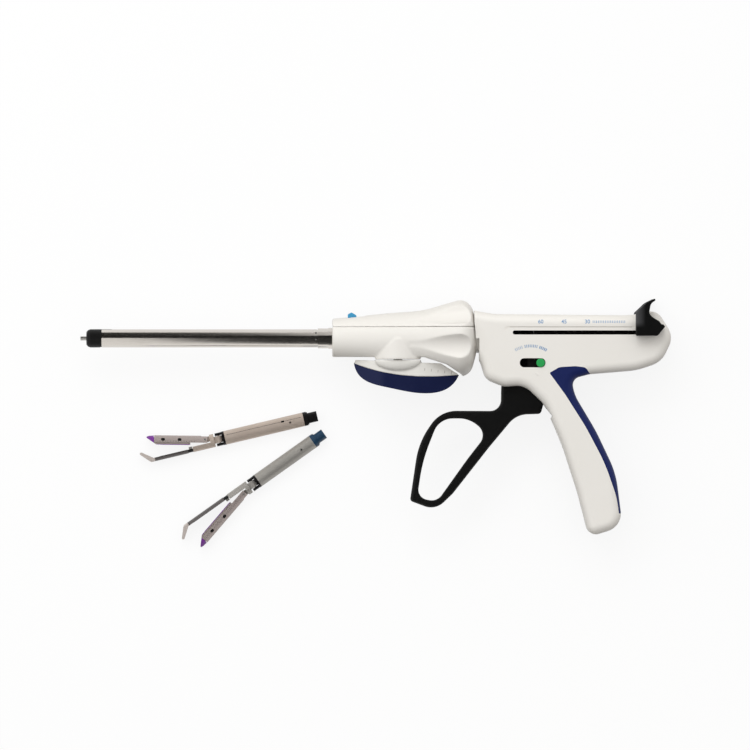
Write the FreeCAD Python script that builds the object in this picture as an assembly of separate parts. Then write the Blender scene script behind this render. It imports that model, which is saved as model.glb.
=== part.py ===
import FreeCAD, Part
import math
import os

# An endoscopic linear stapler, lying on its side, with two detachable loading units beside it.
# Millimetres. X runs back along the shaft towards the handle, Y points up the pistol grip's
# back, Z points away from the table. The origin is on the shaft's axis at the end of its tube.

V = FreeCAD.Vector

# Shaft
TUBE_RADIUS = 6.0
TUBE_WALL = 0.5
TUBE_END_X = 181.0
TUBE_STEP = 0.2
TUBE_RELIEF = 0.5
COLLAR_LENGTH = 10.0
COLLAR_SPIGOT = 12.0
TONGUE_LENGTH = 6.7
TONGUE_WIDTH = 3.2
ROD_RADIUS = 2.0
ROD_TIP_RADIUS = 1.4
ROD_TIP_LENGTH = 3.9
FERRULE_START_X = 141.5
FERRULE_RADIUS = 6.6
FERRULE_FLANGE_RADIUS = 6.95

# Rotation knob
KNOB_FRONT_X = 151.0
KNOB_FRONT_RADIUS = 12.9
KNOB_WAIST_X = 212.0
KNOB_WAIST_RADIUS = 18.8
KNOB_FLARE_X = 234.0
KNOB_FLARE_RADIUS = 25.0
KNOB_REAR_X = 243.0
KNOB_REAR_RADIUS = 18.8
KNOB_DOME = 2.4
KNOB_PARTING_Y = 7.6
KNOB_FLAT_Y = -12.2
KNOB_ROOM_RADIUS = 13.0
KNOB_ROOM_START_X = 184.0
KNOB_ROOM_END_X = 237.0
KNOB_ROOM_FLOOR = 2.6
FLUTE_RADIUS = 11.0
FLUTE_DEPTH = 4.6
FLUTE_ANGLES = (41.0, -12.0, 139.0, 192.0)
FLUTE_START_X = 200.0
FLUTE_SLOPE = 0.1
SLEEVE_RADIUS = 9.5
SLEEVE_BORE_RADIUS = 7.6
SLEEVE_FLANGE_RADIUS = 11.6
SLEEVE_START_X = 237.0
KNOB_SCREW_X = 173.5
KNOB_SCREW_Z = 7.1
KNOB_SCREW_HEAD = 1.6
KNOB_SCREW_LOW = -9.4
KNOB_SCREW_TOP = 9.6

# Articulation lever
LEVER_X = 194.0
LEVER_FRONT = 28.8
LEVER_REAR = 40.0
LEVER_HALF_WIDTH = 11.5
LEVER_HUB_RADIUS = 15.2
LEVER_HUB_HEIGHT = 7.0
LEVER_TOP_Y = -14.2
SADDLE_RADIUS = 17.5
SADDLE_HALF_LENGTH = 14.8
SADDLE_DEPTH = 1.6
LEVER_SHAFT_RADIUS = 3.0
LEVER_SWING = 45.0
CAM_RADIUS = 8.0
CAM_PIN_OFFSET = 6.0
CAM_PIN_RADIUS = 1.5
LINK_TOP_Y = -3.5
LINK_THICKNESS = 1.5
LINK_WIDTH = 3.0
LINK_FRONT_X = 4.6

# Handle shells
BODY_HALF = 15.5
BODY_ROUNDING = 6.0
BODY_WALL = 2.6
BODY_FRONT_X = 247.2
BODY_FRONT_WALL = 4.3
SKIN_THICKNESS = 1.6
SLOT_Y = 3.8
SLOT_HEIGHT = 2.7
SLOT_FRONT_X = 269.0
GROOVE_Y = 7.4
GROOVE_WIDTH = 0.7
GROOVE_DEPTH = 0.5
GROOVE_FRONT_X = 266.0
GROOVE_CURL = 2.0
SCREW_RADIUS = 1.1
SCREW_HEAD_RADIUS = 2.2
SCREW_TIP_Z = 6.5
HEAD_HEIGHT = 1.8
HEAD_SINK = 1.0
BOSS_RADIUS = 3.2
PIN_BOSS_WALL = 1.9
RAIL_THICKNESS = 1.2
RAIL_END_X = 352.0
RIB_THICKNESS = 1.2
RIB_PITCH = 12.0
RIB_COUNT = 5
RIB_REACH = 40.0
GRIP_AXIS = (306.5, -62.0)
GRIP_LEAN = 19.0

# Firing rack
RACK_FRONT_X = 264.0
RACK_HALF_WIDTH = 4.0
RACK_BOTTOM_Y = -3.0
RACK_TOP_Y = 5.6
RACK_TRAVEL = 79.0
TOOTH_PITCH = 4.0
TOOTH_DEPTH = 1.8
FIRST_TOOTH = 8.0
COUPLER_LENGTH = 8.0
COUPLER_RADIUS = 3.3
ROD_FLANGE_RADIUS = 2.6
PULL_PIN_X = 361.0
PULL_PIN_RADIUS = 1.15
PULL_KNOB_OUTER_Z = 24.9
PULL_KNOB_FRONT = 11.7
PULL_KNOB_ROUNDING = 0.6
PULL_RIB_PITCH = 1.5
PULL_RIB_DEPTH = 0.5
PULL_RIB_COUNT = 5

# Trigger and pawls
TRIGGER_PIVOT_X = 279.0
TRIGGER_PIVOT_Y = -25.0
TRIGGER_HALF = 5.5
TRIGGER_ROUNDING = 1.8
LOOP_ROUNDING = 1.0
TRIGGER_SLOT_HALF = 6.3
MOUTH_FRONT_X = 256.0
MOUTH_REAR_X = 300.0
MOUTH_TOP_Y = -24.5
MOUTH_LOW_Y = -56.0
CLEVIS_DEPTH = 5.0
PIVOT_PIN_RADIUS = 2.0
PAWL_PIN_RADIUS = 1.2
PAWL_HALF = 2.2
DRIVE_PAWL_X = 281.0
DRIVE_PAWL_Y = -8.5
LOCK_PAWL_X = 303.0
LOCK_PAWL_Y = -9.5
SPRING_COIL_RADIUS = 2.8
SPRING_WIRE_RADIUS = 0.5
SPRING_PITCH = 1.2
SPRING_TURNS = 3

# Selector
SELECTOR_X = 287.2
SELECTOR_Y = -16.0
SELECTOR_RADIUS = 2.75
SELECTOR_SLOT_LENGTH = 16.8
SELECTOR_SLOT_HEIGHT = 6.0
SELECTOR_TRAVEL = 10.4

# Unload button
BUTTON_X = 164.0
BUTTON_LENGTH = 6.0
BUTTON_HALF_WIDTH = 2.2
BUTTON_TOP_Y = 17.2
BUTTON_TRAVEL = 5.0

# Loading units: place on the table of the connector end, and direction of the tube
TABLE_Z = -25.0
UNIT_PLACES = {
    "upper": (141.0, -51.0, 193.3, 1),
    "lower": (145.5, -62.5, 215.4, -1),
}
# Each unit is drawn for a 12 mm tube along +X and then brought to the smaller size of this set
UNIT_SCALE = 0.76
UNIT_RADIUS = 6.0
UNIT_WALL = 0.5
HUB_LENGTH = 16.0
HUB_OVERLAP = 4.0
HUB_RADIUS = 5.4
HUB_BORE = 2.4
UPPER_TUBE_LENGTH = 70.0
LOWER_TUBE_LENGTH = 58.0
FORK_LENGTH = 8.0
FORK_BACK = 3.0
FORK_SLOT_HALF = 3.0
UPPER_JAW_LENGTH = 55.0
LOWER_JAW_LENGTH = 63.0
JAW_OPENING = 14.0
JAW_PIVOT = 4.0
JAW_HINGE_Y = -2.6
JAW_GAP = 0.2
BASE_ROUND = 8.0
BASE_LENGTH = 24.0
BASE_FLOOR = 1.0
CLAMP_LENGTH = 4.5
ANVIL_FLOOR = 2.6
ANVIL_TOP = 5.8
TIP_LENGTH = 8.0
CARTRIDGE_SETBACK = 7.0
DECK_TOP = 2.2
CHANNEL_INNER_HALF = 3.4
KNIFE_SLOT_HALF = 0.7
ARTICULATION_PIN_RADIUS = 1.0
JAW_PIN_RADIUS = 0.9
KNIFE_LENGTH = 3.0
KNIFE_TRAVEL = 26.0

# Clearances
RUNNING = 0.06
SEAT = 0.02
GAP = 0.3
SEAM = 0.16

# Farther out than any face of the part, for tools that cut right through
BEYOND = 400.0


def ring_x(x0, x1, outer, inner=0.0, y=0.0, z=0.0):
    """Tube or rod along X."""
    body = Part.makeCylinder(outer, x1 - x0, V(x0, y, z), V(1, 0, 0))
    if inner > 0:
        body = body.cut(Part.makeCylinder(inner, x1 - x0 + 2, V(x0 - 1, y, z), V(1, 0, 0)))
    return body


def rod_z(x, y, z0, z1, radius):
    return Part.makeCylinder(radius, z1 - z0, V(x, y, z0), V(0, 0, 1))


def rod_y(x, z, y0, y1, radius):
    return Part.makeCylinder(radius, y1 - y0, V(x, y0, z), V(0, 1, 0))


def block(x0, x1, y0, y1, z0, z1):
    return Part.makeBox(x1 - x0, y1 - y0, z1 - z0, V(x0, y0, z0))


def space(x0=-BEYOND, x1=BEYOND, y0=-BEYOND, y1=BEYOND, z0=-BEYOND, z1=BEYOND):
    """All of space between the limits that are given."""
    return block(x0, x1, y0, y1, z0, z1)


def rounded_wire(corners):
    """Closed outline through corners (x, y, radius), each rounded as far as its sides allow."""
    count = len(corners)
    arcs = []
    for i in range(count):
        corner = V(corners[i][0], corners[i][1], 0)
        before = V(corners[i - 1][0], corners[i - 1][1], 0) - corner
        after = V(corners[(i + 1) % count][0], corners[(i + 1) % count][1], 0) - corner
        half = before.getAngle(after) / 2
        radius = corners[i][2] if len(corners[i]) > 2 else 0.0
        reach = min(radius / math.tan(half), 0.48 * before.Length, 0.48 * after.Length)
        if reach < 0.01 or half > 1.568:
            arcs.append((corner, corner, corner))
            continue
        radius = reach * math.tan(half)
        before.normalize()
        after.normalize()
        middle = before + after
        middle.normalize()
        apex = corner + middle * (radius / math.sin(half) - radius)
        arcs.append((corner + before * reach, apex, corner + after * reach))
    edges = []
    for i in range(count):
        start, apex, end = arcs[i]
        if start.distanceToPoint(end) > 1e-6:
            edges.append(Part.Arc(start, apex, end).toShape())
        nxt = arcs[(i + 1) % count][0]
        if end.distanceToPoint(nxt) > 1e-6:
            edges.append(Part.LineSegment(end, nxt).toShape())
    return Part.Wire(edges)


def prism(corners, z0, z1, inset=0.0):
    """Upright slab over a rounded outline, the outline moved in by inset."""
    wire = rounded_wire(corners)
    if inset > 0:
        wire = wire.makeOffset2D(-inset)
    slab = Part.Face(wire).extrude(V(0, 0, z1 - z0))
    slab.translate(V(0, 0, z0))
    return slab


def revolve_x(points):
    """Turned solid about the X axis from points (x, radius)."""
    outline = [V(x, r, 0) for x, r in points]
    face = Part.Face(Part.makePolygon(outline + [outline[0]]))
    return face.revolve(V(0, 0, 0), V(1, 0, 0), 360)


def soften(solid, radius, keep):
    """Rounds the edges for which keep(edge) is true."""
    edges = [edge for edge in solid.Edges if keep(edge)]
    return solid.makeFillet(radius, edges)


def at_height(z):
    """Edges that lie flat at this height."""
    return lambda edge: all(abs(v.Z - z) < 1e-4 for v in edge.Vertexes)


def coil_spring(radius, wire, pitch, turns, steps=14, sides=6):
    """Open coil along Z, lofted through small polygons set square to the helix."""
    sections = []
    for i in range(steps * turns + 1):
        angle = 2 * math.pi * i / steps
        outward = V(math.cos(angle), math.sin(angle), 0)
        tangent = V(-math.sin(angle), math.cos(angle), pitch / (2 * math.pi * radius))
        tangent.normalize()
        upward = outward.cross(tangent)
        centre = outward * radius + V(0, 0, pitch * i / steps)
        ring = []
        for k in range(sides + 1):
            turn = 2 * math.pi * (k % sides) / sides
            ring.append(centre + outward * (wire * math.cos(turn)) + upward * (wire * math.sin(turn)))
        sections.append(Part.makePolygon(ring))
    return Part.makeLoft(sections, True, True)


def save(shape, name):
    solids = shape.Solids
    joined = solids[0] if len(solids) == 1 else Part.Compound(solids)
    joined.exportStep("parts/" + name + ".step")
    print(name, len(solids), joined.isValid(), round(sum(s.Volume for s in solids), 1))


HANDLE_OUTLINE = [
    (236.0, 19.8, 8),
    (256.0, 15.9, 60),
    (348.0, 15.0, 60),
    (363.0, 19.2, 9),
    (374.2, 1.0, 12),
    (366.5, -15.5, 16),
    (350.0, -21.0, 40),
    (319.0, -23.6, 8),
    (307.6, -26.6, 7),
    (309.5, -37.0, 40),
    (323.5, -60.5, 120),
    (336.5, -88.0, 60),
    (341.0, -123.0, 12),
    (319.0, -130.0, 6.4),
    (311.5, -101.0, 120),
    (301.5, -70.0, 150),
    (290.5, -44.0, 26),
    (276.5, -30.6, 40),
    (263.5, -31.8, 12),
    (251.3, -27.0, 9),
    (247.4, -14.0, 14),
    (236.0, -4.0, 12),
]

SKIN_ZONE = [
    (293.0, -22.6, 0.8),
    (299.5, -18.8, 6),
    (310.0, -18.2, 6),
    (316.6, -19.0, 4),
    (320.5, -24.5, 2),
    (332.0, -40.0, 0),
    (350.0, -80.0, 0),
    (352.0, -114.5, 0),
    (338.4, -114.5, 0),
    (337.0, -104.0, 60),
    (329.2, -81.5, 120),
    (316.8, -58.0, 120),
    (303.5, -37.0, 40),
]


def handle_solid(inset):
    """The pistol body's outer form, or the same form set in by a wall."""
    top = BODY_HALF - inset
    slab = prism(HANDLE_OUTLINE, -top, top, inset)
    edges_at = lambda edge: at_height(top)(edge) or at_height(-top)(edge)
    return soften(slab, BODY_ROUNDING - inset, edges_at)


def front_clearance():
    """What the turning knob needs in front of the pistol body."""
    cone = revolve_x(
        [
            (0.0, 0.0),
            (BODY_FRONT_X, 0.0),
            (BODY_FRONT_X, 6.0),
            (KNOB_REAR_X + 1.0, KNOB_REAR_RADIUS),
            (KNOB_REAR_X + 1.0, BEYOND),
            (0.0, BEYOND),
        ]
    )
    return cone.fuse(space(x1=BODY_FRONT_X, y1=0.0))


NOTCH_OUTLINE = [
    (286.4, -46.6, 0.6),
    (290.2, -44.9, 1),
    (295.4, -50.9, 1),
    (292.8, -54.4, 0.6),
]
SCREW_PLACES = [(257.0, -20.5), (346.0, -13.0), (356.0, 10.6), (318.5, -80.0), (327.5, -115.0)]


def slot_outline(x0, x1, y, height):
    half = height / 2
    return [(x0, y - half, half), (x1, y - half, half), (x1, y + half, half), (x0, y + half, half)]


def scale_groove():
    """The fine groove over the firing slot, whose front end curls down round the slot."""
    floor_z = BODY_HALF - GROOVE_DEPTH
    half = GROOVE_WIDTH / 2
    run = block(
        GROOVE_FRONT_X, PULL_PIN_X - PULL_KNOB_FRONT, GROOVE_Y - half, GROOVE_Y + half, floor_z, BODY_HALF
    )
    curl_y = GROOVE_Y - GROOVE_CURL
    curl = rod_z(GROOVE_FRONT_X, curl_y, floor_z, BODY_HALF, GROOVE_CURL + half)
    curl = curl.cut(rod_z(GROOVE_FRONT_X, curl_y, floor_z, BODY_HALF, GROOVE_CURL - half))
    return run.fuse(curl.common(space(x1=GROOVE_FRONT_X, y0=curl_y)))


def make_handle():
    inner_z = BODY_HALF - BODY_WALL
    outer = handle_solid(0.0)
    under = handle_solid(SKIN_THICKNESS)
    room = handle_solid(BODY_WALL)
    room = room.common(space(x0=BODY_FRONT_X + BODY_FRONT_WALL))
    zone = prism(SKIN_ZONE, -BODY_HALF, BODY_HALF)
    skin = outer.common(zone).cut(under)
    shell = outer.cut(skin).cut(room).cut(front_clearance())
    shell = shell.cut(ring_x(BODY_FRONT_X - 1, BODY_FRONT_X + 8, SLEEVE_RADIUS + RUNNING))
    for x, y in SCREW_PLACES:
        shell = shell.fuse(rod_z(x, y, -inner_z - 0.5, inner_z + 0.5, BOSS_RADIUS))
    spring_room = SPRING_TURNS * SPRING_PITCH + 2 * SPRING_WIRE_RADIUS + GAP
    pins = (
        (TRIGGER_PIVOT_X, TRIGGER_PIVOT_Y, PIVOT_PIN_RADIUS, TRIGGER_HALF + GAP, spring_room),
        (LOCK_PAWL_X, LOCK_PAWL_Y, PAWL_PIN_RADIUS, PAWL_HALF + GAP, 0.0),
    )
    for x, y, radius, reach, extra in pins:
        collar = radius + PIN_BOSS_WALL
        shell = shell.fuse(rod_z(x, y, reach, inner_z + 0.5, collar))
        shell = shell.fuse(rod_z(x, y, -inner_z - 0.5, -reach - extra, collar))
    for i in range(RIB_COUNT):
        web = block(-RIB_REACH, RIB_REACH, -RIB_THICKNESS / 2, RIB_THICKNESS / 2, -RIB_REACH, RIB_REACH)
        web.translate(V(0, -i * RIB_PITCH, 0))
        web.rotate(V(0, 0, 0), V(0, 0, 1), GRIP_LEAN)
        web.translate(V(GRIP_AXIS[0], GRIP_AXIS[1], 0))
        shell = shell.fuse(web.common(room))
    for side in (-1, 1):
        z0, z1 = sorted((side * (PAWL_HALF + 0.9), side * (inner_z + 0.5)))
        for y0 in (RACK_TOP_Y + GAP, RACK_BOTTOM_Y - GAP - RAIL_THICKNESS):
            rail = block(BODY_FRONT_X + 9, RAIL_END_X, y0, y0 + RAIL_THICKNESS, z0, z1)
            shell = shell.fuse(rail)
    slot = prism(
        slot_outline(SLOT_FRONT_X, PULL_PIN_X + SLOT_HEIGHT / 2, SLOT_Y, SLOT_HEIGHT),
        -BODY_HALF, BODY_HALF,
    )
    mouth = block(
        MOUTH_FRONT_X, MOUTH_REAR_X, MOUTH_LOW_Y, MOUTH_TOP_Y, -TRIGGER_SLOT_HALF, TRIGGER_SLOT_HALF
    )
    notch = prism(NOTCH_OUTLINE, -BODY_HALF, BODY_HALF)
    shell = shell.cut(slot).cut(mouth).cut(notch)
    pin_length = inner_z + 1.0
    for x, y, radius, reach, extra in pins:
        shell = shell.cut(rod_z(x, y, -pin_length, pin_length, radius + SEAT))
    left = shell.common(space(z0=SEAM / 2))
    right = shell.common(space(z1=-SEAM / 2))
    screws = []
    head_z = -BODY_HALF + HEAD_SINK
    seat_z = head_z + HEAD_HEIGHT
    for x, y in SCREW_PLACES:
        hole = rod_z(x, y, -BEYOND, SCREW_TIP_Z + 0.5, SCREW_RADIUS + SEAT)
        left = left.cut(hole)
        right = right.cut(hole)
        right = right.cut(rod_z(x, y, -BEYOND, seat_z, SCREW_HEAD_RADIUS + SEAT))
        shank = rod_z(x, y, seat_z, SCREW_TIP_Z, SCREW_RADIUS)
        screws.append(shank.fuse(rod_z(x, y, head_z, seat_z, SCREW_HEAD_RADIUS)))
    left = left.cut(scale_groove())
    selector_centre = SELECTOR_X - SELECTOR_TRAVEL / 2
    half_run = SELECTOR_SLOT_LENGTH / 2
    window = slot_outline(
        selector_centre - half_run, selector_centre + half_run, SELECTOR_Y, SELECTOR_SLOT_HEIGHT
    )
    left = left.cut(prism(window, inner_z - 3.0, BODY_HALF))
    save(left, "left_housing")
    save(right, "right_housing")
    save(skin, "grip_overmold")
    save(Part.Compound(screws), "housing_screws")
    pin = rod_z(TRIGGER_PIVOT_X, TRIGGER_PIVOT_Y, -pin_length + 0.1, pin_length - 0.1, PIVOT_PIN_RADIUS)
    save(pin, "trigger_pivot_pin")
    pin = rod_z(LOCK_PAWL_X, LOCK_PAWL_Y, -pin_length + 0.1, pin_length - 0.1, PAWL_PIN_RADIUS)
    save(pin, "locking_pawl_pin")
    spring_z = -TRIGGER_HALF - spring_room + SPRING_WIRE_RADIUS + GAP / 2
    spring = coil_spring(SPRING_COIL_RADIUS, SPRING_WIRE_RADIUS, SPRING_PITCH, SPRING_TURNS)
    spring.translate(V(TRIGGER_PIVOT_X, TRIGGER_PIVOT_Y, spring_z))
    save(spring, "trigger_return_spring")


TRIGGER_OUTLINE = [
    (262.5, -24.0, 6),
    (261.6, -33.0, 30),
    (261.4, -47.6, 12),
    (222.0, -47.4, 20),
    (207.6, -68.0, 110),
    (201.9, -106.4, 2.2),
    (218.5, -112.6, 12),
    (230.0, -101.6, 16),
    (253.5, -71.6, 200),
    (271.5, -50.0, 16),
    (287.5, -49.5, 2.5),
    (291.5, -35.0, 8),
    (288.0, -20.0, 6),
    (284.5, -6.0, 2.5),
    (278.0, -6.0, 2.5),
    (273.5, -15.0, 4),
]

FINGER_LOOP = [
    (221.0, -52.6, 13),
    (241.0, -52.4, 40),
    (252.4, -62.6, 9),
    (240.0, -78.4, 200),
    (219.6, -107.0, 8),
    (206.6, -104.4, 9),
    (210.2, -80.0, 110),
]


def make_trigger():
    body = prism(TRIGGER_OUTLINE, -TRIGGER_HALF, TRIGGER_HALF)
    flat = lambda edge: at_height(TRIGGER_HALF)(edge) or at_height(-TRIGGER_HALF)(edge)
    body = soften(body, TRIGGER_ROUNDING, flat)
    loop = prism(FINGER_LOOP, -TRIGGER_HALF, TRIGGER_HALF)
    rims = [edge.CenterOfMass for edge in loop.Edges if flat(edge)]
    on_rim = lambda edge: flat(edge) and any(
        edge.CenterOfMass.distanceToPoint(rim) < 0.01 for rim in rims
    )
    body = soften(body.cut(loop), LOOP_ROUNDING, on_rim)
    pivot_bore = rod_z(TRIGGER_PIVOT_X, TRIGGER_PIVOT_Y, -BEYOND, BEYOND, PIVOT_PIN_RADIUS + RUNNING)
    pawl_bore = rod_z(DRIVE_PAWL_X, DRIVE_PAWL_Y, -BEYOND, BEYOND, PAWL_PIN_RADIUS + SEAT)
    cheek_gap = PAWL_HALF + GAP
    body = body.cut(pivot_bore).cut(pawl_bore)
    body = body.cut(space(y0=DRIVE_PAWL_Y - CLEVIS_DEPTH, z0=-cheek_gap, z1=cheek_gap))
    save(body, "trigger")
    pin = rod_z(
        DRIVE_PAWL_X, DRIVE_PAWL_Y, -TRIGGER_HALF + 0.2, TRIGGER_HALF - 0.2, PAWL_PIN_RADIUS
    )
    save(pin, "drive_pawl_pin")


def pawl(x, y, name):
    """A short arm on a pin whose nose waits just under the rack's teeth."""
    nose_y = min(RACK_BOTTOM_Y, -COUPLER_RADIUS) - GAP
    arm = [
        (x + 2.6, y - 2.6, 2.4),
        (x + 2.6, y + 2.6, 2.4),
        (x - 3.4, nose_y, 0.3),
        (x - 6.0, nose_y - 0.6, 0.4),
        (x - 2.6, y - 2.6, 2.4),
    ]
    body = prism(arm, -PAWL_HALF, PAWL_HALF)
    save(body.cut(rod_z(x, y, -BEYOND, BEYOND, PAWL_PIN_RADIUS + RUNNING)), name)


def make_rack():
    rear_x = PULL_PIN_X + 3.4
    bar_x = LEVER_X + CAM_RADIUS + RACK_TRAVEL + 2.0
    bar = block(
        bar_x, rear_x, RACK_BOTTOM_Y, RACK_TOP_Y, -RACK_HALF_WIDTH, RACK_HALF_WIDTH
    )
    bar = bar.fuse(ring_x(RACK_FRONT_X, bar_x + 1.0, COUPLER_RADIUS))
    first_tooth = RACK_FRONT_X + FIRST_TOOTH
    count = int((PULL_PIN_X - 12.0 - first_tooth) / TOOTH_PITCH)
    gullets = []
    for i in range(count):
        x = first_tooth + i * TOOTH_PITCH
        gullet = [
            (x, -COUPLER_RADIUS - 1.0),
            (x + TOOTH_PITCH * 0.82, -COUPLER_RADIUS - 1.0),
            (x + TOOTH_PITCH * 0.82, RACK_BOTTOM_Y),
            (x + TOOTH_PITCH * 0.3, RACK_BOTTOM_Y + TOOTH_DEPTH),
            (x, RACK_BOTTOM_Y + TOOTH_DEPTH),
        ]
        gullets.append(prism(gullet, -PAWL_HALF - 0.6, PAWL_HALF + 0.6))
    bar = bar.cut(gullets)
    bar = bar.cut(rod_z(PULL_PIN_X, SLOT_Y, -BEYOND, BEYOND, PULL_PIN_RADIUS + SEAT))
    save(bar, "firing_rack")
    coupler_x = RACK_FRONT_X - COUPLER_LENGTH
    coupler = ring_x(coupler_x, RACK_FRONT_X, COUPLER_RADIUS, ROD_RADIUS + RUNNING)
    coupler = coupler.cut(ring_x(coupler_x + 1.5, RACK_FRONT_X + 1, ROD_FLANGE_RADIUS + RUNNING))
    save(coupler, "rod_coupler")
    pin_reach = PULL_KNOB_OUTER_Z - 3.0
    save(rod_z(PULL_PIN_X, SLOT_Y, -pin_reach, pin_reach, PULL_PIN_RADIUS), "retraction_pin")
    front_x = PULL_PIN_X - PULL_KNOB_FRONT
    hook = [
        (front_x, 1.6, 1.0),
        (front_x, 16.9, 1.0),
        (PULL_PIN_X - 5.0, 23.2, 9),
        (PULL_PIN_X + 0.6, 26.0, 0.6),
        (PULL_PIN_X + 1.1, 24.7, 0.5),
        (PULL_PIN_X - 2.0, 22.6, 4),
        (PULL_PIN_X - 3.2, 16.0, 5),
        (PULL_PIN_X - 0.4, 13.4, 3),
        (PULL_PIN_X + 3.4, 11.2, 2),
        (PULL_PIN_X + 4.8, 9.3, 0.8),
        (PULL_PIN_X + 6.2, 9.0, 0.6),
        (PULL_PIN_X + 7.4, 7.6, 0.6),
        (PULL_PIN_X + 2.4, 1.6, 1.0),
    ]
    foot_z = BODY_HALF + GAP
    grip = prism(hook, foot_z, PULL_KNOB_OUTER_Z)
    grip = soften(grip, PULL_KNOB_ROUNDING, at_height(PULL_KNOB_OUTER_Z))
    for i in range(PULL_RIB_COUNT):
        rib_z = foot_z + 1.6 + i * PULL_RIB_PITCH
        grip = grip.cut(
            space(x1=front_x + PULL_RIB_DEPTH, z0=rib_z, z1=rib_z + PULL_RIB_PITCH / 2)
        )
    grip = grip.cut(rod_z(PULL_PIN_X, SLOT_Y, 0, pin_reach + 0.1, PULL_PIN_RADIUS + SEAT))
    save(grip, "left_retraction_knob")
    save(grip.mirror(V(0, 0, 0), V(0, 0, 1)), "right_retraction_knob")


def make_selector():
    plate_top = BODY_HALF - BODY_WALL - GAP
    plate_half = SELECTOR_SLOT_HEIGHT / 2 + 1.5
    plate_reach = SELECTOR_SLOT_LENGTH / 2
    plate = block(
        SELECTOR_X - plate_reach, SELECTOR_X + plate_reach,
        SELECTOR_Y - plate_half, SELECTOR_Y + plate_half,
        plate_top - 1.4, plate_top,
    )
    save(plate, "selector_slider")
    button = rod_z(SELECTOR_X, SELECTOR_Y, plate_top, BODY_HALF + 1.2, SELECTOR_RADIUS)
    button = soften(button, 0.6, at_height(BODY_HALF + 1.2))
    save(button, "selector_button")


def curve_through(points):
    """Smooth edge through points (x, y)."""
    curve = Part.BSplineCurve()
    curve.interpolate([V(x, y, 0) for x, y in points])
    return curve.toShape()


def straight(points):
    return [
        Part.LineSegment(V(x0, y0, 0), V(x1, y1, 0)).toShape()
        for (x0, y0), (x1, y1) in zip(points, points[1:])
    ]


def knob_form():
    """The knob's turned outer form with its finger flutes and the flat for the lever."""
    chamfer = 0.8
    side = [
        (KNOB_FRONT_X + chamfer, KNOB_FRONT_RADIUS),
        (176.0, 15.3),
        (192.0, 16.8),
        (KNOB_WAIST_X, KNOB_WAIST_RADIUS),
        (224.0, 22.2),
        (KNOB_FLARE_X, KNOB_FLARE_RADIUS),
    ]
    back = [
        (KNOB_FLARE_X, KNOB_FLARE_RADIUS),
        (KNOB_FLARE_X + 4.6, KNOB_FLARE_RADIUS - 1.0),
        (KNOB_REAR_X - 1.4, KNOB_REAR_RADIUS + 2.6),
        (KNOB_REAR_X, KNOB_REAR_RADIUS),
    ]
    edges = straight(
        [
            (KNOB_FRONT_X, 0.0),
            (KNOB_FRONT_X, KNOB_FRONT_RADIUS - chamfer),
            (KNOB_FRONT_X + chamfer, KNOB_FRONT_RADIUS),
        ]
    )
    edges += [curve_through(side), curve_through(back)]
    edges += straight(
        [
            (KNOB_REAR_X, KNOB_REAR_RADIUS),
            (KNOB_REAR_X + KNOB_DOME, SLEEVE_RADIUS),
            (KNOB_REAR_X + KNOB_DOME, 0.0),
            (KNOB_FRONT_X, 0.0),
        ]
    )
    form = Part.Face(Part.Wire(edges)).revolve(V(0, 0, 0), V(1, 0, 0), 360)
    middle = KNOB_FLARE_RADIUS - FLUTE_DEPTH + FLUTE_RADIUS
    for angle in FLUTE_ANGLES:
        start = V(FLUTE_START_X, middle - FLUTE_SLOPE * (KNOB_FLARE_X - FLUTE_START_X), 0)
        flute = Part.makeCylinder(FLUTE_RADIUS, 60.0, start, V(1, FLUTE_SLOPE, 0))
        flute.rotate(V(0, 0, 0), V(1, 0, 0), 90.0 - angle)
        form = form.cut(flute)
    below = [
        (140.0, KNOB_FLAT_Y),
        (KNOB_WAIST_X - 1.0, KNOB_FLAT_Y),
        (226.0, -17.0),
        (236.0, -23.8),
        (236.0, -60.0),
        (140.0, -60.0),
    ]
    return form.cut(prism(below, -2 * KNOB_FLARE_RADIUS, 2 * KNOB_FLARE_RADIUS))


def saddle():
    """The three-cornered boss that carries the lever under the knob."""
    low = KNOB_FLAT_Y - SADDLE_DEPTH
    post = rod_y(LEVER_X, 0.0, low, 0.0, SADDLE_RADIUS)
    gable = [
        (LEVER_X - SADDLE_HALF_LENGTH, low, 0),
        (LEVER_X - SADDLE_HALF_LENGTH, KNOB_FLAT_Y, 2),
        (LEVER_X, 1.4, 3),
        (LEVER_X + SADDLE_HALF_LENGTH, KNOB_FLAT_Y, 2),
        (LEVER_X + SADDLE_HALF_LENGTH, low, 0),
    ]
    return post.common(prism(gable, -SADDLE_RADIUS, SADDLE_RADIUS))


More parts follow.
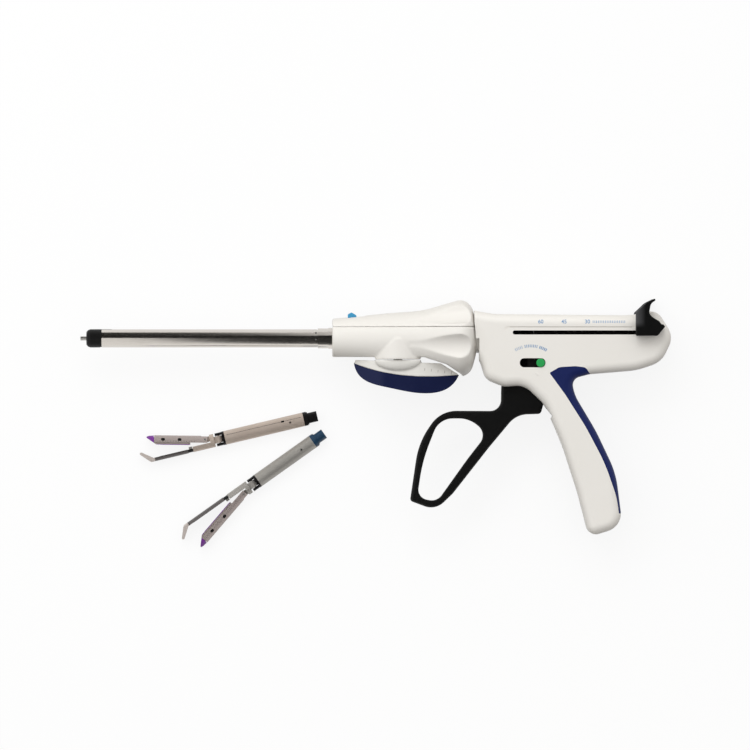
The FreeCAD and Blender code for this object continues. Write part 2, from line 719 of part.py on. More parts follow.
def make_knob():
    form = knob_form().fuse(saddle())
    form = form.cut(ring_x(KNOB_FRONT_X - 1, TUBE_END_X, TUBE_RADIUS - TUBE_STEP + SEAT))
    room = ring_x(KNOB_ROOM_START_X, KNOB_ROOM_END_X, KNOB_ROOM_RADIUS)
    floor_y = KNOB_FLAT_Y + KNOB_ROOM_FLOOR
    room = room.common(space(y0=floor_y))
    form = form.cut(room)
    form = form.cut(ring_x(TUBE_END_X - 0.5, KNOB_ROOM_START_X + 1, TUBE_RADIUS - TUBE_WALL))
    form = form.cut(ring_x(KNOB_ROOM_END_X - 1, BEYOND, SLEEVE_RADIUS + SEAT))
    form = form.cut(rod_y(LEVER_X, 0.0, -BEYOND, floor_y + 1.0, LEVER_SHAFT_RADIUS + RUNNING))
    slot_start = BUTTON_X - BUTTON_LENGTH / 2 - 0.4
    slot_end = BUTTON_X + BUTTON_LENGTH / 2 + BUTTON_TRAVEL + 0.4
    slot_half = BUTTON_HALF_WIDTH + 0.4
    button_foot = KNOB_PARTING_Y + 2.0
    form = form.cut(
        block(slot_start, slot_end, button_foot - 0.8, BEYOND, -slot_half, slot_half)
    )
    upper = form.common(space(y0=KNOB_PARTING_Y + SEAM / 2))
    lower = form.common(space(y1=KNOB_PARTING_Y - SEAM / 2))
    screws = []
    seat_y = KNOB_SCREW_LOW + HEAD_HEIGHT
    for z in (-KNOB_SCREW_Z, KNOB_SCREW_Z):
        well = rod_y(KNOB_SCREW_X, z, -BEYOND, seat_y, KNOB_SCREW_HEAD + SEAT)
        hole = rod_y(KNOB_SCREW_X, z, -BEYOND, KNOB_SCREW_TOP + GAP, SCREW_RADIUS + SEAT)
        lower = lower.cut(well).cut(hole)
        upper = upper.cut(hole)
        shank = rod_y(KNOB_SCREW_X, z, seat_y, KNOB_SCREW_TOP, SCREW_RADIUS)
        head = rod_y(KNOB_SCREW_X, z, KNOB_SCREW_LOW, seat_y, KNOB_SCREW_HEAD)
        screws.append(shank.fuse(head))
    save(upper, "knob_upper_half")
    save(lower, "knob_lower_half")
    save(Part.Compound(screws), "knob_screws")
    flange_x = BODY_FRONT_X + BODY_FRONT_WALL + GAP
    sleeve = ring_x(SLEEVE_START_X, flange_x + 3.0, SLEEVE_RADIUS)
    sleeve = sleeve.fuse(ring_x(flange_x, flange_x + 1.8, SLEEVE_FLANGE_RADIUS))
    sleeve = sleeve.cut(ring_x(0.0, BEYOND, SLEEVE_BORE_RADIUS))
    save(sleeve, "knob_bearing_sleeve")

    fin = [
        (BUTTON_X - BUTTON_LENGTH / 2, button_foot, 0.3),
        (BUTTON_X + BUTTON_LENGTH / 2, button_foot, 0.3),
        (BUTTON_X + BUTTON_LENGTH / 2, 15.2, 0.6),
        (BUTTON_X - 0.4, BUTTON_TOP_Y, 1.0),
        (BUTTON_X - BUTTON_LENGTH / 2, BUTTON_TOP_Y - 1.4, 0.8),
    ]
    save(prism(fin, -BUTTON_HALF_WIDTH, BUTTON_HALF_WIDTH), "unload_button")


def make_shaft():
    bore = TUBE_RADIUS - TUBE_WALL
    step_x = FERRULE_START_X - TUBE_RELIEF
    tube = ring_x(0.0, step_x, TUBE_RADIUS)
    tube = tube.fuse(ring_x(step_x, TUBE_END_X, TUBE_RADIUS - TUBE_STEP))
    tube = tube.cut(ring_x(-1.0, TUBE_END_X + 1.0, bore))
    notch_half = TONGUE_WIDTH / 2 + SEAT
    tube = tube.cut(block(-1.0, TONGUE_LENGTH + SEAT, 0.0, 10.0, -notch_half, notch_half))
    save(tube, "shaft_tube")
    ferrule = ring_x(FERRULE_START_X, KNOB_FRONT_X, FERRULE_RADIUS)
    ferrule = ferrule.fuse(ring_x(KNOB_FRONT_X - 2.5, KNOB_FRONT_X, FERRULE_FLANGE_RADIUS))
    save(ferrule.cut(ring_x(0.0, BEYOND, TUBE_RADIUS - TUBE_STEP + SEAT)), "shaft_ferrule")
    nose = revolve_x(
        [
            (COLLAR_SPIGOT, 0.0),
            (COLLAR_SPIGOT, bore - SEAT),
            (0.0, bore - SEAT),
            (0.0, TUBE_RADIUS),
            (-COLLAR_LENGTH + 2.6, TUBE_RADIUS),
            (-COLLAR_LENGTH + 1.0, TUBE_RADIUS - 0.6),
            (-COLLAR_LENGTH, TUBE_RADIUS - 1.8),
            (-COLLAR_LENGTH, 0.0),
        ]
    )
    tongue = ring_x(-1.0, TONGUE_LENGTH, TUBE_RADIUS, bore - 1.0)
    half_width = TONGUE_WIDTH / 2
    tongue = tongue.common(block(-1.0, TONGUE_LENGTH, 0.0, 10.0, -half_width, half_width))
    nose = nose.fuse(tongue)
    nose = nose.cut(ring_x(-BEYOND, BEYOND, ROD_RADIUS + RUNNING))
    link_room = block(
        -1.0, 20.0, LINK_TOP_Y - LINK_THICKNESS - 1.0, LINK_TOP_Y + 0.4,
        -LINK_WIDTH / 2 - 0.4, LINK_WIDTH / 2 + 0.4,
    )
    save(nose.cut(link_room), "distal_collar")

    flange_x = RACK_FRONT_X - COUPLER_LENGTH + 1.5 + GAP
    rod = ring_x(-COLLAR_LENGTH, flange_x + 3.0, ROD_RADIUS)
    tip = ring_x(-COLLAR_LENGTH - ROD_TIP_LENGTH, -COLLAR_LENGTH, ROD_TIP_RADIUS)
    rod = rod.fuse(ring_x(flange_x, flange_x + 3.0, ROD_FLANGE_RADIUS)).fuse(tip)
    save(rod, "control_rod")


def boat(corners, top_y, bottom_y):
    """Slab over a plan outline given in X and Z."""
    slab = prism(corners, 0.0, top_y - bottom_y)
    slab.rotate(V(0, 0, 0), V(1, 0, 0), 90)
    slab.translate(V(0, top_y, 0))
    return slab


def lever_hub():
    """The round boss in the middle of the lever, its foot rounded off."""
    foot_y = LEVER_TOP_Y - LEVER_HUB_HEIGHT
    rounding = curve_through(
        [
            (LEVER_HUB_RADIUS, foot_y + 4.2),
            (LEVER_HUB_RADIUS - 1.3, foot_y + 1.7),
            (LEVER_HUB_RADIUS - 4.6, foot_y),
        ]
    )
    edges = straight(
        [
            (LEVER_HUB_RADIUS - 4.6, foot_y),
            (0.0, foot_y),
            (0.0, LEVER_TOP_Y),
            (LEVER_HUB_RADIUS, LEVER_TOP_Y),
            (LEVER_HUB_RADIUS, foot_y + 4.2),
        ]
    )
    hub = Part.Face(Part.Wire([rounding] + edges)).revolve(V(0, 0, 0), V(0, 1, 0), 360)
    hub.translate(V(LEVER_X, 0, 0))
    return hub


def make_lever():
    front = LEVER_X - LEVER_FRONT
    rear = LEVER_X + LEVER_REAR
    plan = [
        (front, -2.0, 2),
        (LEVER_X - 12.0, -LEVER_HALF_WIDTH, 14),
        (LEVER_X + 14.0, -LEVER_HALF_WIDTH, 30),
        (rear, -3.5, 2),
        (rear, 3.5, 2),
        (LEVER_X + 14.0, LEVER_HALF_WIDTH, 30),
        (LEVER_X - 12.0, LEVER_HALF_WIDTH, 14),
        (front, 2.0, 2),
    ]
    edge_y = LEVER_TOP_Y - 2.2
    tail_y = LEVER_TOP_Y - 9.7
    seam = curve_through(
        [(front, edge_y), (LEVER_X - 6.0, -22.9), (LEVER_X + 14.9, -25.0), (rear, tail_y)]
    )
    keel = curve_through(
        [
            (front, edge_y), (LEVER_X - 24.5, -25.2), (LEVER_X - 5.6, -32.4),
            (LEVER_X + 14.9, -35.9), (LEVER_X + 31.0, -33.6), (rear, tail_y),
        ]
    )
    hull = boat(plan, 0.0, -BEYOND)
    bowl = Part.Face(Part.Wire([seam, keel])).extrude(V(0, 0, 4 * LEVER_HALF_WIDTH))
    bowl.translate(V(0, 0, -2 * LEVER_HALF_WIDTH))
    bowl = bowl.common(hull)

    lid = [
        (rear, tail_y), (rear - 1.0, tail_y + 0.7), (LEVER_X + 28.0, edge_y),
        (front + 1.0, LEVER_TOP_Y), (front, edge_y),
    ]
    cap = Part.Face(Part.Wire([seam] + straight(lid))).extrude(V(0, 0, 4 * LEVER_HALF_WIDTH))
    cap.translate(V(0, 0, -2 * LEVER_HALF_WIDTH))
    cap = cap.common(hull)
    cap = cap.fuse(lever_hub())
    shaft_low = LEVER_TOP_Y - LEVER_HUB_HEIGHT + 0.2
    cap = cap.cut(rod_y(LEVER_X, 0.0, shaft_low, 0.0, LEVER_SHAFT_RADIUS + SEAT))
    save(cap, "articulation_lever_cap")
    save(bowl, "articulation_lever_wings")

    cam_low = KNOB_FLAT_Y + KNOB_ROOM_FLOOR + GAP
    cam_high = LINK_TOP_Y - LINK_THICKNESS - GAP
    shaft = rod_y(LEVER_X, 0.0, shaft_low, cam_low, LEVER_SHAFT_RADIUS)
    save(shaft, "lever_pivot_shaft")
    cam = rod_y(LEVER_X, 0.0, cam_low, cam_high, CAM_RADIUS)
    crank = rod_y(LEVER_X, CAM_PIN_OFFSET, cam_high - 0.5, LINK_TOP_Y, CAM_PIN_RADIUS)
    save(cam.fuse(crank), "articulation_cam")

    half_width = LINK_WIDTH / 2
    low = LINK_TOP_Y - LINK_THICKNESS
    strip = block(LINK_FRONT_X, LEVER_X - 4.0, low, LINK_TOP_Y, -half_width, half_width)
    plate = block(LEVER_X - 5.0, LEVER_X + 5.0, low, LINK_TOP_Y, -2.0, CAM_PIN_OFFSET + 3.0)
    slot_half = CAM_PIN_RADIUS + 0.45
    slot_low = CAM_PIN_OFFSET * math.cos(math.radians(LEVER_SWING)) - slot_half
    cam_slot = block(
        LEVER_X - slot_half, LEVER_X + slot_half, low - 1, LINK_TOP_Y + 1,
        slot_low, CAM_PIN_OFFSET + slot_half,
    )
    save(strip.fuse(plate).cut(cam_slot), "articulation_link")


def place_unit(shape, name):
    x, y, heading, side = UNIT_PLACES[name]
    moved = shape.copy()
    if side < 0:
        moved = moved.mirror(V(0, 0, 0), V(0, 1, 0))
    moved.scale(UNIT_SCALE)
    moved.rotate(V(0, 0, 0), V(0, 0, 1), heading)
    moved.translate(V(x, y, TABLE_Z + UNIT_RADIUS * UNIT_SCALE))
    return moved


def unit_stations(name):
    """Where along a loading unit its pieces begin and end."""
    lengths = {
        "upper": (UPPER_TUBE_LENGTH, UPPER_JAW_LENGTH),
        "lower": (LOWER_TUBE_LENGTH, LOWER_JAW_LENGTH),
    }
    tube_length, jaw_length = lengths[name]
    at = {"tube_start": HUB_LENGTH - HUB_OVERLAP}
    at["tube_end"] = at["tube_start"] + tube_length
    at["fork_end"] = at["tube_end"] + FORK_LENGTH
    at["pivot"] = at["fork_end"] - FORK_BACK
    at["round_end"] = at["pivot"] + BASE_ROUND
    at["jaw_pivot"] = at["round_end"] + JAW_PIVOT
    at["base_end"] = at["pivot"] + BASE_LENGTH
    at["clamp_end"] = at["base_end"] + CLAMP_LENGTH
    at["jaw_end"] = at["jaw_pivot"] + jaw_length
    at["channel_end"] = at["jaw_end"] - CARTRIDGE_SETBACK - 4.0
    at["knife"] = at["base_end"] + 0.5
    at["knife_end"] = at["knife"] + KNIFE_LENGTH + KNIFE_TRAVEL + 1.0
    return at


def knife_slot(at):
    return space(x0=at["knife"] - 1.0, x1=at["knife_end"], z0=-KNIFE_SLOT_HALF, z1=KNIFE_SLOT_HALF)


def make_connector(at):
    """The end that goes into the shaft, the tube and what runs in them."""
    bore = UNIT_RADIUS - UNIT_WALL
    tube_start = at["tube_start"]
    hub = ring_x(0.0, HUB_LENGTH + 6.0, bore - SEAT)
    hub = hub.cut(ring_x(0.0, tube_start - 4.0, UNIT_RADIUS, HUB_RADIUS - 0.9))
    lug_top = HUB_RADIUS - 0.1
    hub = hub.fuse(rod_z(4.0, 0.0, -lug_top, lug_top, 1.2))
    hub = hub.fuse(ring_x(tube_start - 3.0, tube_start, UNIT_RADIUS, bore - 1.0))
    hub = hub.cut(ring_x(-1.0, HUB_LENGTH + 7.0, HUB_BORE))
    tube = ring_x(tube_start, at["tube_end"], UNIT_RADIUS, bore)
    tube = tube.cut(rod_z(tube_start + 12.0, 0.0, 0.0, BEYOND, 0.9))
    beam = block(5.0, tube_start + 8.0, -0.9, 0.9, -1.9, 1.9)
    beam = beam.fuse(ring_x(1.5, 5.0, HUB_BORE - 0.2))
    return {"hub": hub, "tube": tube, "drive_beam": beam}


def make_articulation(at):
    """The black fork at the tube's end and the pin that the jaws swing on."""
    tube_end, pivot = at["tube_end"], at["pivot"]
    fork = ring_x(tube_end - 6.0, tube_end, UNIT_RADIUS - UNIT_WALL - SEAT)
    fork = fork.fuse(ring_x(tube_end, tube_end + 2.0, UNIT_RADIUS))
    cheek = ring_x(tube_end, at["fork_end"], UNIT_RADIUS - 0.2)
    cheek = cheek.common(space(z0=-FORK_SLOT_HALF, z1=FORK_SLOT_HALF))
    cheek = cheek.cut(space(y0=-FORK_SLOT_HALF - GAP, y1=FORK_SLOT_HALF + GAP))
    fork = fork.fuse(cheek).cut(ring_x(tube_end - 7.0, tube_end + 3.0, 2.6))
    fork = fork.cut(rod_y(pivot, 0.0, -BEYOND, BEYOND, ARTICULATION_PIN_RADIUS + SEAT))
    pin = rod_y(pivot, 0.0, -UNIT_RADIUS + 0.8, UNIT_RADIUS - 0.8, ARTICULATION_PIN_RADIUS)
    return {"articulation_fork": fork, "articulation_pin": pin}


def make_fixed_jaw(at):
    """The steel base behind the joint, the black clamp and the anvil with its bent tip."""
    pivot, round_end, jaw_pivot = at["pivot"], at["round_end"], at["jaw_pivot"]
    base_end, clamp_end, jaw_end = at["base_end"], at["clamp_end"], at["jaw_end"]
    outer = UNIT_RADIUS - 0.2
    mount = rod_y(pivot, 0.0, -FORK_SLOT_HALF, FORK_SLOT_HALF, FORK_SLOT_HALF)
    neck_half = FORK_SLOT_HALF
    mount = mount.fuse(block(pivot, pivot + 5.0, -neck_half, neck_half, -neck_half, neck_half))
    mount = mount.fuse(ring_x(pivot + 4.4, round_end, outer))
    mount = mount.fuse(ring_x(round_end - 0.5, base_end, outer).common(space(y0=BASE_FLOOR)))
    mount = mount.fuse(block(round_end - 0.5, jaw_pivot + 2.0, -4.6, 0.0, -2.0, 2.0))
    mount = mount.cut(rod_y(pivot, 0.0, -BEYOND, BEYOND, ARTICULATION_PIN_RADIUS + RUNNING))
    mount = mount.cut(rod_z(jaw_pivot, JAW_HINGE_Y, -BEYOND, BEYOND, JAW_PIN_RADIUS + SEAT))
    pin = rod_z(jaw_pivot, JAW_HINGE_Y, -4.9, 4.9, JAW_PIN_RADIUS)

    clamp = ring_x(base_end, clamp_end, outer - 0.4).common(space(y0=ANVIL_FLOOR, y1=ANVIL_TOP - 0.4))
    side = [
        (clamp_end, ANVIL_FLOOR, 0),
        (jaw_end - TIP_LENGTH, ANVIL_FLOOR, 1.5),
        (jaw_end + 1.6, -4.6, 0.8),
        (jaw_end + 3.2, -3.2, 0.8),
        (jaw_end - TIP_LENGTH + 2.8, ANVIL_TOP, 2.5),
        (clamp_end, ANVIL_TOP, 0),
    ]
    tip_start = jaw_end - TIP_LENGTH - 3.0
    round_bar = ring_x(clamp_end, tip_start + 1.0, outer)
    tongue = ring_x(tip_start, jaw_end + 6.0, outer)
    tongue = tongue.common(space(z0=-CHANNEL_INNER_HALF, z1=CHANNEL_INNER_HALF))
    anvil = round_bar.fuse(tongue).common(prism(side, -UNIT_RADIUS, UNIT_RADIUS))
    slot = knife_slot(at).common(space(y1=ANVIL_FLOOR + 1.2))
    return {
        "jaw_mount": mount.cut(slot),
        "jaw_pin": pin,
        "anvil_clamp": clamp.cut(slot),
        "anvil": anvil.cut(slot),
    }


def make_cartridge_jaw(at):
    """The steel channel that swings on the jaw pin, and the cartridge that lies in it."""
    jaw_pivot, channel_end, jaw_end = at["jaw_pivot"], at["channel_end"], at["jaw_end"]
    floor_y = -4.2
    heel_x = jaw_pivot - 2.0
    channel = ring_x(heel_x, channel_end, UNIT_RADIUS - 0.2).common(space(y1=JAW_GAP))
    inner = CHANNEL_INNER_HALF
    channel = channel.cut(space(y0=floor_y, z0=-inner, z1=inner))
    channel = channel.cut(
        block(heel_x - 1.0, jaw_pivot + 3.4, -UNIT_RADIUS, floor_y + 0.2, -inner + 1.0, inner - 1.0)
    )
    channel = channel.cut(rod_z(jaw_pivot, JAW_HINGE_Y, -BEYOND, BEYOND, JAW_PIN_RADIUS + RUNNING))
    for share in (0.4, 0.66):
        hole_x = jaw_pivot + share * (jaw_end - jaw_pivot)
        channel = channel.cut(rod_z(hole_x, -2.4, 0.0, BEYOND, 0.9))
    slot = knife_slot(at)
    channel = channel.cut(slot.common(space(x1=at["knife_end"] - 4.0)))

    start = at["base_end"] + 0.8
    bed_y = floor_y + 0.1
    nose_end = jaw_end + 3.6 - CARTRIDGE_SETBACK
    side = [
        (start, bed_y, 0),
        (channel_end + 0.5, bed_y, 0),
        (channel_end + 0.5, -5.6, 0),
        (nose_end - 3.1, -5.2, 1.5),
        (nose_end, -4.2, 1.0),
        (nose_end - 9.6, DECK_TOP, 2),
        (start, DECK_TOP, 0),
    ]
    body_half = inner - 0.1
    body = block(start, channel_end + 0.1, bed_y, DECK_TOP, -body_half, body_half)
    deck = block(start, channel_end + 0.1, JAW_GAP * 2, DECK_TOP, -5.2, 5.2)
    nose = ring_x(channel_end + 0.1, jaw_end, UNIT_RADIUS - 0.4)
    cartridge = body.fuse(deck).fuse(nose).common(prism(side, -UNIT_RADIUS, UNIT_RADIUS))
    pieces = {"cartridge_channel": channel, "cartridge": cartridge.cut(slot)}
    for shape in pieces.values():
        shape.rotate(V(jaw_pivot, JAW_HINGE_Y, 0), V(0, 0, 1), -JAW_OPENING)
    return pieces


def make_unit(name):
    """One loading unit, built with its tube along +X and its cartridge jaw on the -Y side."""
    at = unit_stations(name)
    pieces = make_connector(at)
    pieces.update(make_articulation(at))
    pieces.update(make_fixed_jaw(at))
    pieces.update(make_cartridge_jaw(at))
    knife_x = at["knife"]
    half = KNIFE_SLOT_HALF - GAP
    pieces["knife"] = block(
        knife_x, knife_x + KNIFE_LENGTH, 0.6, ANVIL_FLOOR + 0.9, -half, half
    )
    for piece, shape in pieces.items():
        save(place_unit(shape, name), name + "_unit_" + piece)


def main():
    os.makedirs("parts", exist_ok=True)
    make_handle()
    make_trigger()
    pawl(DRIVE_PAWL_X, DRIVE_PAWL_Y, "drive_pawl")
    pawl(LOCK_PAWL_X, LOCK_PAWL_Y, "locking_pawl")
    make_rack()
    make_selector()
    make_knob()
    make_shaft()
    make_lever()
    for name in UNIT_PLACES:
        make_unit(name)


main()
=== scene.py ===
# %% [markdown]
# # An endoscopic linear stapler, dressed around its construction
# The construction already holds every rigid piece at its real size. This lesson gives those pieces
# their finishes, adds the small things that moulding and printing leave on them, and sets up a
# plain studio. Every piece stays where the construction put it, and a dressing lies on the piece that
# it belongs to. A few pieces get softer edges, and three are drawn in by a tenth or so for play.

import math

import bmesh
import bpy
from mathutils import Matrix, Vector
from mathutils.bvhtree import BVHTree


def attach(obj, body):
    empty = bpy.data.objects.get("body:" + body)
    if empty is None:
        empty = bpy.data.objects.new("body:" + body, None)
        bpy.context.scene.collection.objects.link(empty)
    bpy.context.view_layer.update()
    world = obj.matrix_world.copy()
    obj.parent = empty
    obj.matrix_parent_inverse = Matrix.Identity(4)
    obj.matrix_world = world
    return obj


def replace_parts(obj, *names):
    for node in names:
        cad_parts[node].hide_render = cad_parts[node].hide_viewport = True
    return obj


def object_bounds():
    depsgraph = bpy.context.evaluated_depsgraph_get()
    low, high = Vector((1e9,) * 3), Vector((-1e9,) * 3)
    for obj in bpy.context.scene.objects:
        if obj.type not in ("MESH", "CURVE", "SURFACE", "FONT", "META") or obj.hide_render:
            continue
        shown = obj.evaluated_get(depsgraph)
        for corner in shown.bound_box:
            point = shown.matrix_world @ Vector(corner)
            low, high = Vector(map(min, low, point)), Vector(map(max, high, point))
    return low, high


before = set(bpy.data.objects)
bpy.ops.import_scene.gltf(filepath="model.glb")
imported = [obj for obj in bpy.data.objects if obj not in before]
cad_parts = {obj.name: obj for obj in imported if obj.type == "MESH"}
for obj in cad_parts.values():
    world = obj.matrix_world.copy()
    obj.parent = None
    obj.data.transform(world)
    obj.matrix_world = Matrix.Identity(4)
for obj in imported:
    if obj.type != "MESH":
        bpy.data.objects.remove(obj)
MM = 0.001
WELD_MM = 0.001
frame_low, frame_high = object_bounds()
print("pieces in the frame:", len(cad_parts))
print("size in mm:", [round(side / MM, 1) for side in frame_high - frame_low])

# %% [markdown]
# ## Numbers that can be written as formulas
# A shader or a shape rule is easiest to read as arithmetic. Blender keeps it as a web of Math
# nodes, so this class wraps one socket and lets Python's own operators add the nodes. The web could
# be wired by hand, node by node, but then nobody could check the formula at a glance.

# %% A socket that can be calculated with
class Number:
    def __init__(self, graph, socket):
        self.graph = graph
        self.socket = socket

    def combine(self, operation, first, second=0.0):
        sockets = {0: first, 1: second}
        node = self.graph.add("ShaderNodeMath", {"operation": operation}, sockets)
        return Number(self.graph, node.outputs[0])

    def __add__(self, other):
        return self.combine("ADD", self, other)

    __radd__ = __add__

    def __sub__(self, other):
        return self.combine("SUBTRACT", self, other)

    def __rsub__(self, other):
        return self.combine("SUBTRACT", other, self)

    def __mul__(self, other):
        return self.combine("MULTIPLY", self, other)

    __rmul__ = __mul__

    def __truediv__(self, other):
        return self.combine("DIVIDE", self, other)

    def above(self, limit):
        return self.combine("GREATER_THAN", self, limit)

    def below(self, limit):
        return self.combine("LESS_THAN", self, limit)

    def at_most(self, limit):
        return self.combine("MINIMUM", self, limit)

    def at_least(self, limit):
        return self.combine("MAXIMUM", self, limit)

    def floor(self):
        return self.combine("FLOOR", self)

    def remainder(self, other):
        return self.combine("FLOORED_MODULO", self, other)

    def wave(self):
        return self.combine("SINE", self)


# %% [markdown]
# ## One way to add a node
# Every node in this lesson, in a material or in a shape tree, comes from one method: its type, then
# its settings, then what goes into its sockets.

# %% A node tree that hands back sockets
class Graph:
    def __init__(self, tree):
        self.tree = tree

    def add(self, kind, settings=None, sockets=None):
        node = self.tree.nodes.new(kind)
        for name, value in (settings or {}).items():
            setattr(node, name, value)
        for name, value in (sockets or {}).items():
            value = value.socket if isinstance(value, Number) else value
            if isinstance(value, bpy.types.NodeSocket):
                self.tree.links.new(value, node.inputs[name])
            else:
                node.inputs[name].default_value = value
        return node

    def number(self, node, output=0):
        return Number(self, node.outputs[output])


# %% [markdown]
# ## Colours as they are seen
# A moulder matches plastic by eye against a swatch, on a scale from 0 to 255. The shader counts
# light itself, so each written swatch is turned into the linear amount of light that it reflects.

# %% Swatches
def swatch(red, green, blue):
    channels = []
    for level in (red, green, blue):
        share = level / 255.0
        channels.append(share / 12.92 if share < 0.04045 else ((share + 0.055) / 1.055) ** 2.4)
    return channels


def opaque(colour):
    return (*colour, 1.0)


# %% [markdown]
# ## Where a pattern lives
# Every pattern below is laid out in millimetres on the piece's own coordinates, so a grain keeps
# its real size whatever it is put on, and stays put when the piece moves. Noise stands for what is
# random, such as spark-eroded tool steel, and a stretched copy of it for drawn metal.

# %% A finish under construction
class Finish(Graph):
    def __init__(self, name, **surface):
        self.material = bpy.data.materials.new(name)
        self.material.use_nodes = True
        super().__init__(self.material.node_tree)
        self.surface = self.tree.nodes["Principled BSDF"]
        for socket, value in surface.items():
            self.surface.inputs[socket.replace("_", " ")].default_value = value
        self.place = self.add("ShaderNodeTexCoord").outputs["Object"]

    def noise(self, size_mm, detail=2.0, stretch=(1.0, 1.0, 1.0)):
        """Random levels from 0 to 1 whose blotches are about size_mm across."""
        mapping = self.add(
            "ShaderNodeMapping",
            {"vector_type": "POINT"},
            {"Vector": self.place, "Scale": stretch},
        )
        sockets = {"Vector": mapping.outputs[0], "Scale": 1.0 / (size_mm * MM), "Detail": detail}
        return self.number(self.add("ShaderNodeTexNoise", None, sockets), "Fac")

    def blend(self, amount, first, second):
        """One colour turning into another as amount goes from 0 to 1."""
        sockets = {"Factor": amount, 6: opaque(first), 7: opaque(second)}
        return self.add("ShaderNodeMix", {"data_type": "RGBA"}, sockets).outputs[2]

    def paint(self, socket, value):
        value = value.socket if isinstance(value, Number) else value
        self.tree.links.new(value, self.surface.inputs[socket])

    def emboss(self, height, depth_mm):
        """Bump whose height map is in shares of depth_mm."""
        sockets = {"Height": height, "Distance": depth_mm * MM, "Strength": 1.0}
        self.paint("Normal", self.add("ShaderNodeBump", None, sockets).outputs[0])


# %% [markdown]
# ## Moulded shells
# The pistol body and the knob are injection moulded in a warm white plastic. The tool is
# spark-eroded, which leaves a very fine even grain and a satin gloss, and the colour drifts a
# little where the melt cooled more slowly. A single colour would look like paint, so the drift, the
# grain and a slightly uneven gloss are all there, each at its own scale.

# %% Shell plastic
def shell_plastic(name, light, shade, gloss=0.3, grain=0.012):
    finish = Finish(name, Specular_IOR_Level=0.45, Coat_Roughness=0.2)
    drift = finish.noise(38.0, 3.0)
    fleck = finish.noise(2.4, 2.0)
    finish.paint("Base Color", finish.blend(drift * 0.7 + fleck * 0.2, light, shade))
    finish.paint("Roughness", gloss + fleck * 0.1 + drift * 0.05)
    finish.emboss(finish.noise(0.55, 2.0), grain)
    return finish.material


WARM_WHITE = swatch(242, 239, 234)
WARM_SHADE = swatch(236, 232, 225)
COOL_WHITE = swatch(238, 236, 231)
COOL_SHADE = swatch(231, 228, 221)
finishes = {
    "ivory_shell": shell_plastic("shell_warm_white", WARM_WHITE, WARM_SHADE),
    "white_plastic": shell_plastic("shell_cool_white", COOL_WHITE, COOL_SHADE, 0.26, 0.008),
}
print("finishes:", sorted(finishes))

# %% [markdown]
# ## Soft skin and coloured plastic
# The blue round the grip is a soft rubber moulded over the shell. Rubber scatters light at its
# surface, so it is rougher, with a coarser leathery grain. The wings of the lever are the same blue
# in hard plastic, with more gloss. The black trigger is a glass-filled plastic: near black, with a
# fine sparkle in its roughness where the fibres reach the surface.

# %% Grained plastic in any colour
def grained_plastic(name, colour, gloss, grain_mm, depth_mm, lift=1.5, specular=0.5):
    finish = Finish(name, Specular_IOR_Level=specular)
    cloud = finish.noise(14.0, 3.0)
    grain = finish.noise(grain_mm, 3.0)
    pale = [min(1.0, channel * lift + 0.002) for channel in colour]
    finish.paint("Base Color", finish.blend(cloud * 0.6 + grain * 0.25, colour, pale))
    finish.paint("Roughness", gloss + grain * 0.14 + cloud * 0.05)
    finish.emboss(grain, depth_mm)
    return finish.material


finishes["navy_skin"] = grained_plastic("soft_navy_skin", swatch(11, 27, 84), 0.44, 0.5, 0.03, 1.3, 0.25)
finishes["navy_plastic"] = grained_plastic("navy_wings", swatch(12, 22, 62), 0.3, 0.7, 0.008, 1.3, 0.22)
finishes["black_plastic"] = grained_plastic(
    "black_glass_filled", swatch(8, 8, 8), 0.38, 0.45, 0.02, 1.4, 0.22
)
finishes["green_button"] = grained_plastic("green_button", swatch(22, 160, 76), 0.3, 0.6, 0.01, 1.2)
finishes["sky_button"] = grained_plastic("sky_blue_button", swatch(52, 146, 190), 0.3, 0.6, 0.01, 1.2)
finishes["teal_plastic"] = grained_plastic("dark_teal_hub", swatch(14, 52, 78), 0.28, 0.6, 0.01)
print("finishes:", sorted(finishes))

# %% [markdown]
# ## Purple cartridge plastic
# The cartridge is moulded in a clear-tinted purple whose thin edges let light through. A little
# subsurface scattering gives that glow, and stays a fixed number on the shader's own socket.

# %% Tinted plastic
def tinted_plastic(name, colour):
    finish = Finish(name, Subsurface_Weight=0.15, Subsurface_Scale=0.0012, Specular_IOR_Level=0.55)
    cloud = finish.noise(6.0, 3.0)
    pale = [min(1.0, channel * 1.7) for channel in colour]
    finish.paint("Base Color", finish.blend(cloud, colour, pale))
    finish.paint("Roughness", 0.2 + cloud * 0.12)
    finish.emboss(finish.noise(0.4, 2.0), 0.008)
    return finish.material


finishes["purple_plastic"] = tinted_plastic("purple_cartridge", swatch(104, 34, 132))

# %% [markdown]
# ## Metals
# The shaft is taken as a polished stainless tube. Its noise is stretched about seventeen times along
# X, which gives faint lines along the tube. The loading units are taken as blasted: rougher, and with
# an even noise. Both get their character from roughness and from a very shallow bump.

# %% Polished and blasted metal
def metal(name, colour, shade, gloss, stretch, line_mm, depth_mm, uneven=0.1, mirror=1.0):
    finish = Finish(name, Metallic=mirror)
    cloud = finish.noise(16.0, 3.0)
    lines = finish.noise(line_mm, 3.0, stretch)
    finish.paint("Base Color", finish.blend(cloud * 0.5 + lines * 0.4, colour, shade))
    finish.paint("Roughness", gloss + lines * uneven + cloud * 0.04)
    finish.emboss(lines, depth_mm)
    return finish.material


